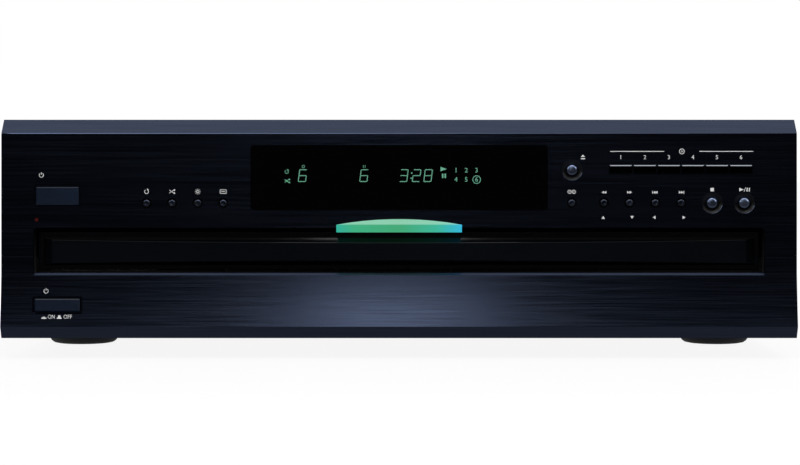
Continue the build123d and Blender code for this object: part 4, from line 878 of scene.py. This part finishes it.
# Caps and feet: (radius, place along the axis). A cap's place is counted from the face,
# from its back to its front, and a foot's is its height.
SMALL_CAP = [(1.9, 3.3), (1.9, -0.05), (1.84, -0.28), (1.68, -0.48), (1.45, -0.6),
             (1.22, -0.63), (1.02, -0.6), (0.8, -0.56), (0.2, -0.54)]
LARGE_CAP = [(2.85, 3.3), (2.85, 0.1), (2.72, -0.2), (2.35, -0.46), (1.7, -0.62),
             (0.9, -0.69), (0.2, -0.7)]
FOOT = [(15.5, 0.05), (17.6, 0.5), (19.0, 1.5), (20.2, 3.2), (21.0, 5.2), (21.4, 8.0),
        (21.4, 12.4)]
FOOT_X = 187.0
FOOT_INSET = 21.5              # from the feet's front and rear ends to their middles
DISH_INNER = (3.42, FACE_Y + 1.6)          # (radius, y) of a dished ring's edges
DISH_OUTER = (5.55, FACE_Y + 0.08)


def round_button(node, steps, material):
    """A turned cap on a black flange with the post that presses its switch."""
    middle = centre(node)
    low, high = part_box(node)
    x, z = middle.x / MM, middle.z / MM
    half = (high.x - low.x) / 2 / MM
    cap = turned(node + "_cap", x, z, [(radius, FACE_Y + y) for radius, y in steps])
    finished(cap, material, body_of(node))
    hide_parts(node)
    foot = joined(node + "_flange", [
        plate("flange", (x - half, FLANGE[0], z - half), (x + half, FLANGE[1], z + half),
              SOFT_EDGE),
        plate("post", (x - POST_HALF, FLANGE[1] - 0.1, z - POST_HALF),
              (x + POST_HALF, high.y / MM, z + POST_HALF), SOFT_EDGE)])
    finished(foot, BLACK, body_of(node))


def buttons():
    """Turned caps for the round buttons; the three polished ones stand in dished rings."""
    for node in NODES:
        if not node.endswith("_button") or node in OBLONG_BUTTONS:
            continue
        if node not in POLISHED_BUTTONS:
            round_button(node, SMALL_CAP, CAP_METAL)
            continue
        round_button(node, LARGE_CAP, FINISHES["button_bright"])
        middle = centre(node)
        dish = open_ring(node + "_dish_ring", middle.x / MM, middle.z / MM,
                         DISH_INNER, DISH_OUTER, 0.08)
        finished(dish, BLACK, "casing")


def shade_strip():
    """A near-black matte strip on the slot's floor, just under the drawer's lower edge: painted
    shade where the drawer shades the floor.
    """
    half_width = 199.5
    piece = plate("shade_strip", (-half_width, FACE_Y + 6.2, 46.85),
                  (half_width, FACE_Y + 7.4, 48.15), 0.2)
    finished(piece, SHADE_BLACK, "casing")


def bar_buttons():
    for i in range(DISCS):
        # Dark metal with a painted highlight on the bars' upward chamfers.
        repaint(f"disc_bar_{i + 1}", BAR_METAL_WITH_PAINTED_HIGHLIGHT)


def turned_feet():
    """Four rounded feet, in place of the plain ones."""
    low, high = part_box("feet")
    feet = []
    for side in (-1, 1):
        for y in (low.y / MM + FOOT_INSET, high.y / MM - FOOT_INSET):
            feet.append(turned("foot", side * FOOT_X, y, FOOT, 48, True))
    piece = joined("turned_feet", feet)
    finished(piece, FINISHES["foot_moulding"], "casing")
    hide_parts("feet")


SOCKETS = (
    (152.0, 41.0, WHITE_RING, "left_socket_ring"),
    (152.0, 25.0, RED_RING, "right_socket_ring"),
    (122.0, 33.0, ORANGE_RING, "coaxial_socket_ring"),
)


def socket_rings():
    """Coloured rings round the phono sockets."""
    ring_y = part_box("rear_panel")[1].y / MM + 1.5
    for x, z, material, name in SOCKETS:
        piece = open_ring(name, x, z, (4.25, ring_y), (5.8, ring_y), 0.5)
        finished(piece, material, "casing")


CROSS_LENGTH, CROSS_WIDTH, CROSS_T = 2.9, 0.45, 0.12
CROSS_SINK = 0.04              # how far a cross sits back in its screw's head
HEAD_PLANE = 0.0001            # points this close to the box, in metres, are on a head
HEAD_CELL = 0.012              # points in one square of this size are one head's
HEAD_POINTS = 6                # a head has at least this many


def screw_recess(name, spot, axis):
    """A cross cut in a screw's head, shown as a dark inlaid cross of painted shade; the head
    faces axis.
    """
    shapes = []
    for across, up in ((CROSS_LENGTH, CROSS_WIDTH), (CROSS_WIDTH, CROSS_LENGTH)):
        half = [across / 2, across / 2, up / 2]
        half[axis] = CROSS_T / 2
        low = [place - reach for place, reach in zip(spot, half)]
        high = [place + reach for place, reach in zip(spot, half)]
        shapes.append(plate("slot", low, high, 0.03))
    finished(joined(name, shapes), RECESS_SHADE, "casing")


def screw_recesses():
    """One dark cross on each cover screw, painted shade for its recess, found from the screws'
    own heads.
    """
    screws = NODES["cover_screws"].data
    low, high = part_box("cover_screws")
    heads = {}
    for point in screws.vertices:
        for axis, sign, limit in ((0, -1, low.x), (0, 1, high.x), (1, 1, high.y)):
            if abs(point.co[axis] - limit) < HEAD_PLANE:
                key = (axis, sign, round(point.co[1 - axis] / HEAD_CELL),
                       round(point.co.z / HEAD_CELL))
                heads.setdefault(key, []).append(point.co.copy())
    for number, ((axis, sign, *_), points) in enumerate(sorted(heads.items())):
        if len(points) < HEAD_POINTS:
            continue
        middle = sum(points, Vector()) / len(points)
        spot = [value / MM for value in middle]
        spot[axis] -= CROSS_SINK * sign
        screw_recess(f"screw_recess_{number}", spot, axis)


SAME_POINT = 0.000002          # points this close, in metres, are one
FLAT_ANGLE = 0.5               # faces that meet at less, in degrees, are one flat
SHORTEST_EDGE = 0.5            # shorter edges aren't rounded
SOFT_SMOOTHING = 3.5           # softened copies are smooth across smaller angles, in degrees


def softened_copy(node, name, pick, width, material, flatten=True):
    """A node's mesh with the picked edges rounded over, standing for the node."""
    bpy.ops.object.select_all(action="DESELECT")
    piece = NODES[node].copy()
    piece.data = NODES[node].data.copy()
    bpy.context.collection.objects.link(piece)
    piece.parent = None
    piece.name = piece.data.name = name
    alone(piece)
    bpy.ops.mesh.customdata_custom_splitnormals_clear()
    bpy.ops.object.mode_set(mode="EDIT")
    bpy.ops.mesh.select_mode(type="VERT")
    bpy.ops.mesh.select_all(action="SELECT")
    bpy.ops.mesh.remove_doubles(threshold=SAME_POINT)
    if flatten:
        bpy.ops.mesh.dissolve_limited(angle_limit=math.radians(FLAT_ANGLE))
    bpy.ops.mesh.select_all(action="DESELECT")
    bpy.ops.object.mode_set(mode="OBJECT")
    points = piece.data.vertices
    for edge in piece.data.edges:
        first, second = (points[index].co / MM for index in edge.vertices)
        long_enough = (first - second).length > SHORTEST_EDGE
        edge.select = pick(first) and pick(second) and long_enough
    bpy.ops.object.mode_set(mode="EDIT")
    bpy.ops.mesh.select_mode(type="EDGE")
    bpy.ops.mesh.bevel(offset=width * MM, segments=3, affect="EDGES")
    bpy.ops.object.mode_set(mode="OBJECT")
    bpy.ops.object.shade_smooth_by_angle(angle=math.radians(SOFT_SMOOTHING))
    finished(piece, material, body_of(node))
    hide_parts(node)


def softened_edges():
    """The bevel's lower edge, and the drawer front's upper one along its bowed part."""
    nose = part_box("drawer_front")
    bow_end = nose[0].y / MM + 9.2

    def on_bevel(point):
        return abs(point.z - BEVEL_Z) < 0.05 and abs(point.y - FACE_Y) < 0.05

    def on_nose(point):
        return abs(point.z - NOSE_EDGE_Z) < 1.6 and point.y < bow_end

    softened_copy("front_panel", "fascia_with_soft_edges", on_bevel, 0.5,
                  FINISHES["fascia"], flatten=False)
    softened_copy("drawer_front", "drawer_front_with_soft_edges", on_nose, 0.3,
                  FINISHES["drawer_face"])


# =====================================================================
# Room: floor, lights and camera
# =====================================================================

FLOOR_WHITE = 0.9              # share of plain white that the camera sees in the floor
FLOOR_FADE = (0.27, 0.5)       # metres from the middle, to the front or the rear
FLOOR_MIRRORED = (0.25, 0.02)  # the floor's level in reflections, from and to there
SURROUND_LIGHT = 0.6           # the surround's level as a light
SURROUND_RISE = (0.25, 0.85)   # directions' heights, as a sine, between which it brightens
SURROUND_MIRRORED = (0.02, 1.0)            # its level in metal and glass, low and overhead


def white_floor():
    """Pale floor: white to the camera apart from the shadow, dim in reflections from afar."""
    bpy.ops.mesh.primitive_plane_add(size=12, location=(0, 0, 0))
    floor = bpy.context.object
    floor.name = "floor"
    made = Finish("pale_floor")
    made.set(Base_Color=grey(236), Roughness=0.7)
    path = made.node("LightPath")
    white = made.node("Emission")
    mix = made.node("MixShader")
    share = made.node("Math", operation="MULTIPLY")
    share.inputs[1].default_value = FLOOR_WHITE
    made.link(path.outputs["Is Camera Ray"], share.inputs[0])
    made.link(share.outputs[0], mix.inputs[0])
    made.link(made.shader.outputs[0], mix.inputs[1])
    made.link(white.outputs[0], mix.inputs[2])
    mirrored = made.node("Emission")
    away = made.node("Math", operation="ABSOLUTE")
    made.link(made.axis("Y"), away.inputs[0])
    made.link(made.ranged(away.outputs[0], FLOOR_FADE, *FLOOR_MIRRORED),
              mirrored.inputs["Strength"])
    last = made.node("MixShader")
    made.link(path.outputs["Is Glossy Ray"], last.inputs[0])
    made.link(mix.outputs[0], last.inputs[1])
    made.link(mirrored.outputs[0], last.inputs[2])
    made.link(last.outputs[0], made.tree.nodes["Material Output"].inputs["Surface"])
    floor.data.materials.append(made.material)


def white_world():
    """White to the camera; metal and glass see it white overhead and dim at the horizon."""
    world = bpy.data.worlds.new("surround")
    bpy.context.scene.world = world
    world.use_nodes = True
    tree = world.node_tree
    light = tree.nodes["Background"]
    light.inputs["Color"].default_value = (1, 1, 1, 1)
    path = tree.nodes.new("ShaderNodeLightPath")
    place = tree.nodes.new("ShaderNodeTexCoord")
    parts = tree.nodes.new("ShaderNodeSeparateXYZ")
    rise = tree.nodes.new("ShaderNodeMapRange")
    for key, value in zip(("From Min", "From Max", "To Min", "To Max"),
                          (*SURROUND_RISE, *SURROUND_MIRRORED)):
        rise.inputs[key].default_value = value
    shiny = tree.nodes.new("ShaderNodeMath")
    shiny.operation = "MAXIMUM"
    first = tree.nodes.new("ShaderNodeMix")
    first.inputs["A"].default_value = SURROUND_LIGHT
    second = tree.nodes.new("ShaderNodeMix")
    second.inputs["B"].default_value = 1.0
    link = tree.links.new
    link(place.outputs["Generated"], parts.inputs[0])
    link(parts.outputs["Z"], rise.inputs["Value"])
    link(path.outputs["Is Glossy Ray"], shiny.inputs[0])
    link(path.outputs["Is Transmission Ray"], shiny.inputs[1])
    link(shiny.outputs[0], first.inputs["Factor"])
    link(rise.outputs[0], first.inputs["B"])
    link(path.outputs["Is Camera Ray"], second.inputs["Factor"])
    link(first.outputs["Result"], second.inputs["A"])
    link(second.outputs["Result"], light.inputs["Strength"])


LAMPS = (                      # name, place, aim, width and height in metres, watts
    ("over_front", (0, -1.0, 1.3), (0, -0.1, 0.06), 1.2, 0.5, 9),
    ("brow", (-0.01, -1.5, 0.44), (0, -0.21, 0.06), 0.17, 0.36, 0.52),
    ("left_fill", (-1.3, -1.1, 0.9), (0, 0, 0.06), 0.7, 0.7, 7),
    ("right_fill", (1.3, -1.1, 0.9), (0, 0, 0.06), 0.7, 0.7, 7),
    ("rear", (0.3, 1.4, 1.1), (0, 0, 0.06), 0.9, 0.6, 9),
)


def soft_lamp(name, place, aim, width, height, power):
    """A rectangular lamp at place that points at aim."""
    bpy.ops.object.light_add(type="AREA", location=place)
    lamp = bpy.context.object
    lamp.name = name
    lamp.data.shape = "RECTANGLE"
    lamp.data.size, lamp.data.size_y = width, height
    lamp.data.energy = power
    lamp.rotation_euler = (Vector(aim) - Vector(place)).to_track_quat("-Z", "Y").to_euler()


def camera():
    """The photograph's camera: level, square to the front, its picture shifted."""
    eye_y = FACE_Y - EYE_DISTANCE
    frame_width = PHOTO_WIDTH * MM_PER_PIXEL
    middle_x = (PHOTO_WIDTH / 2 - PHOTO_CENTRE_PX) * MM_PER_PIXEL
    middle_z = FASCIA_FOOT_Z + (FASCIA_FOOT_PX - PHOTO_HEIGHT / 2) * MM_PER_PIXEL
    bpy.ops.object.camera_add(location=(0, eye_y * MM, EYE_Z * MM),
                              rotation=(math.pi / 2, 0, 0))
    eye = bpy.context.object
    eye.data.sensor_width = SENSOR
    eye.data.lens = SENSOR * EYE_DISTANCE / frame_width
    eye.data.shift_x = middle_x / frame_width
    eye.data.shift_y = (middle_z - EYE_Z) / frame_width
    bpy.context.scene.camera = eye


disc_select_marks()
transport_marks()
folder_marks()
play_mode_marks()
skip_mark()
power_marks()
display_figures()
display_symbols()
carousel_numbers()
buttons()
bar_buttons()
shade_strip()
turned_feet()
socket_rings()
screw_recesses()
softened_edges()

bpy.context.scene.view_settings.view_transform = "Standard"
white_floor()
white_world()
for lamp in LAMPS:
    soft_lamp(*lamp)
camera()
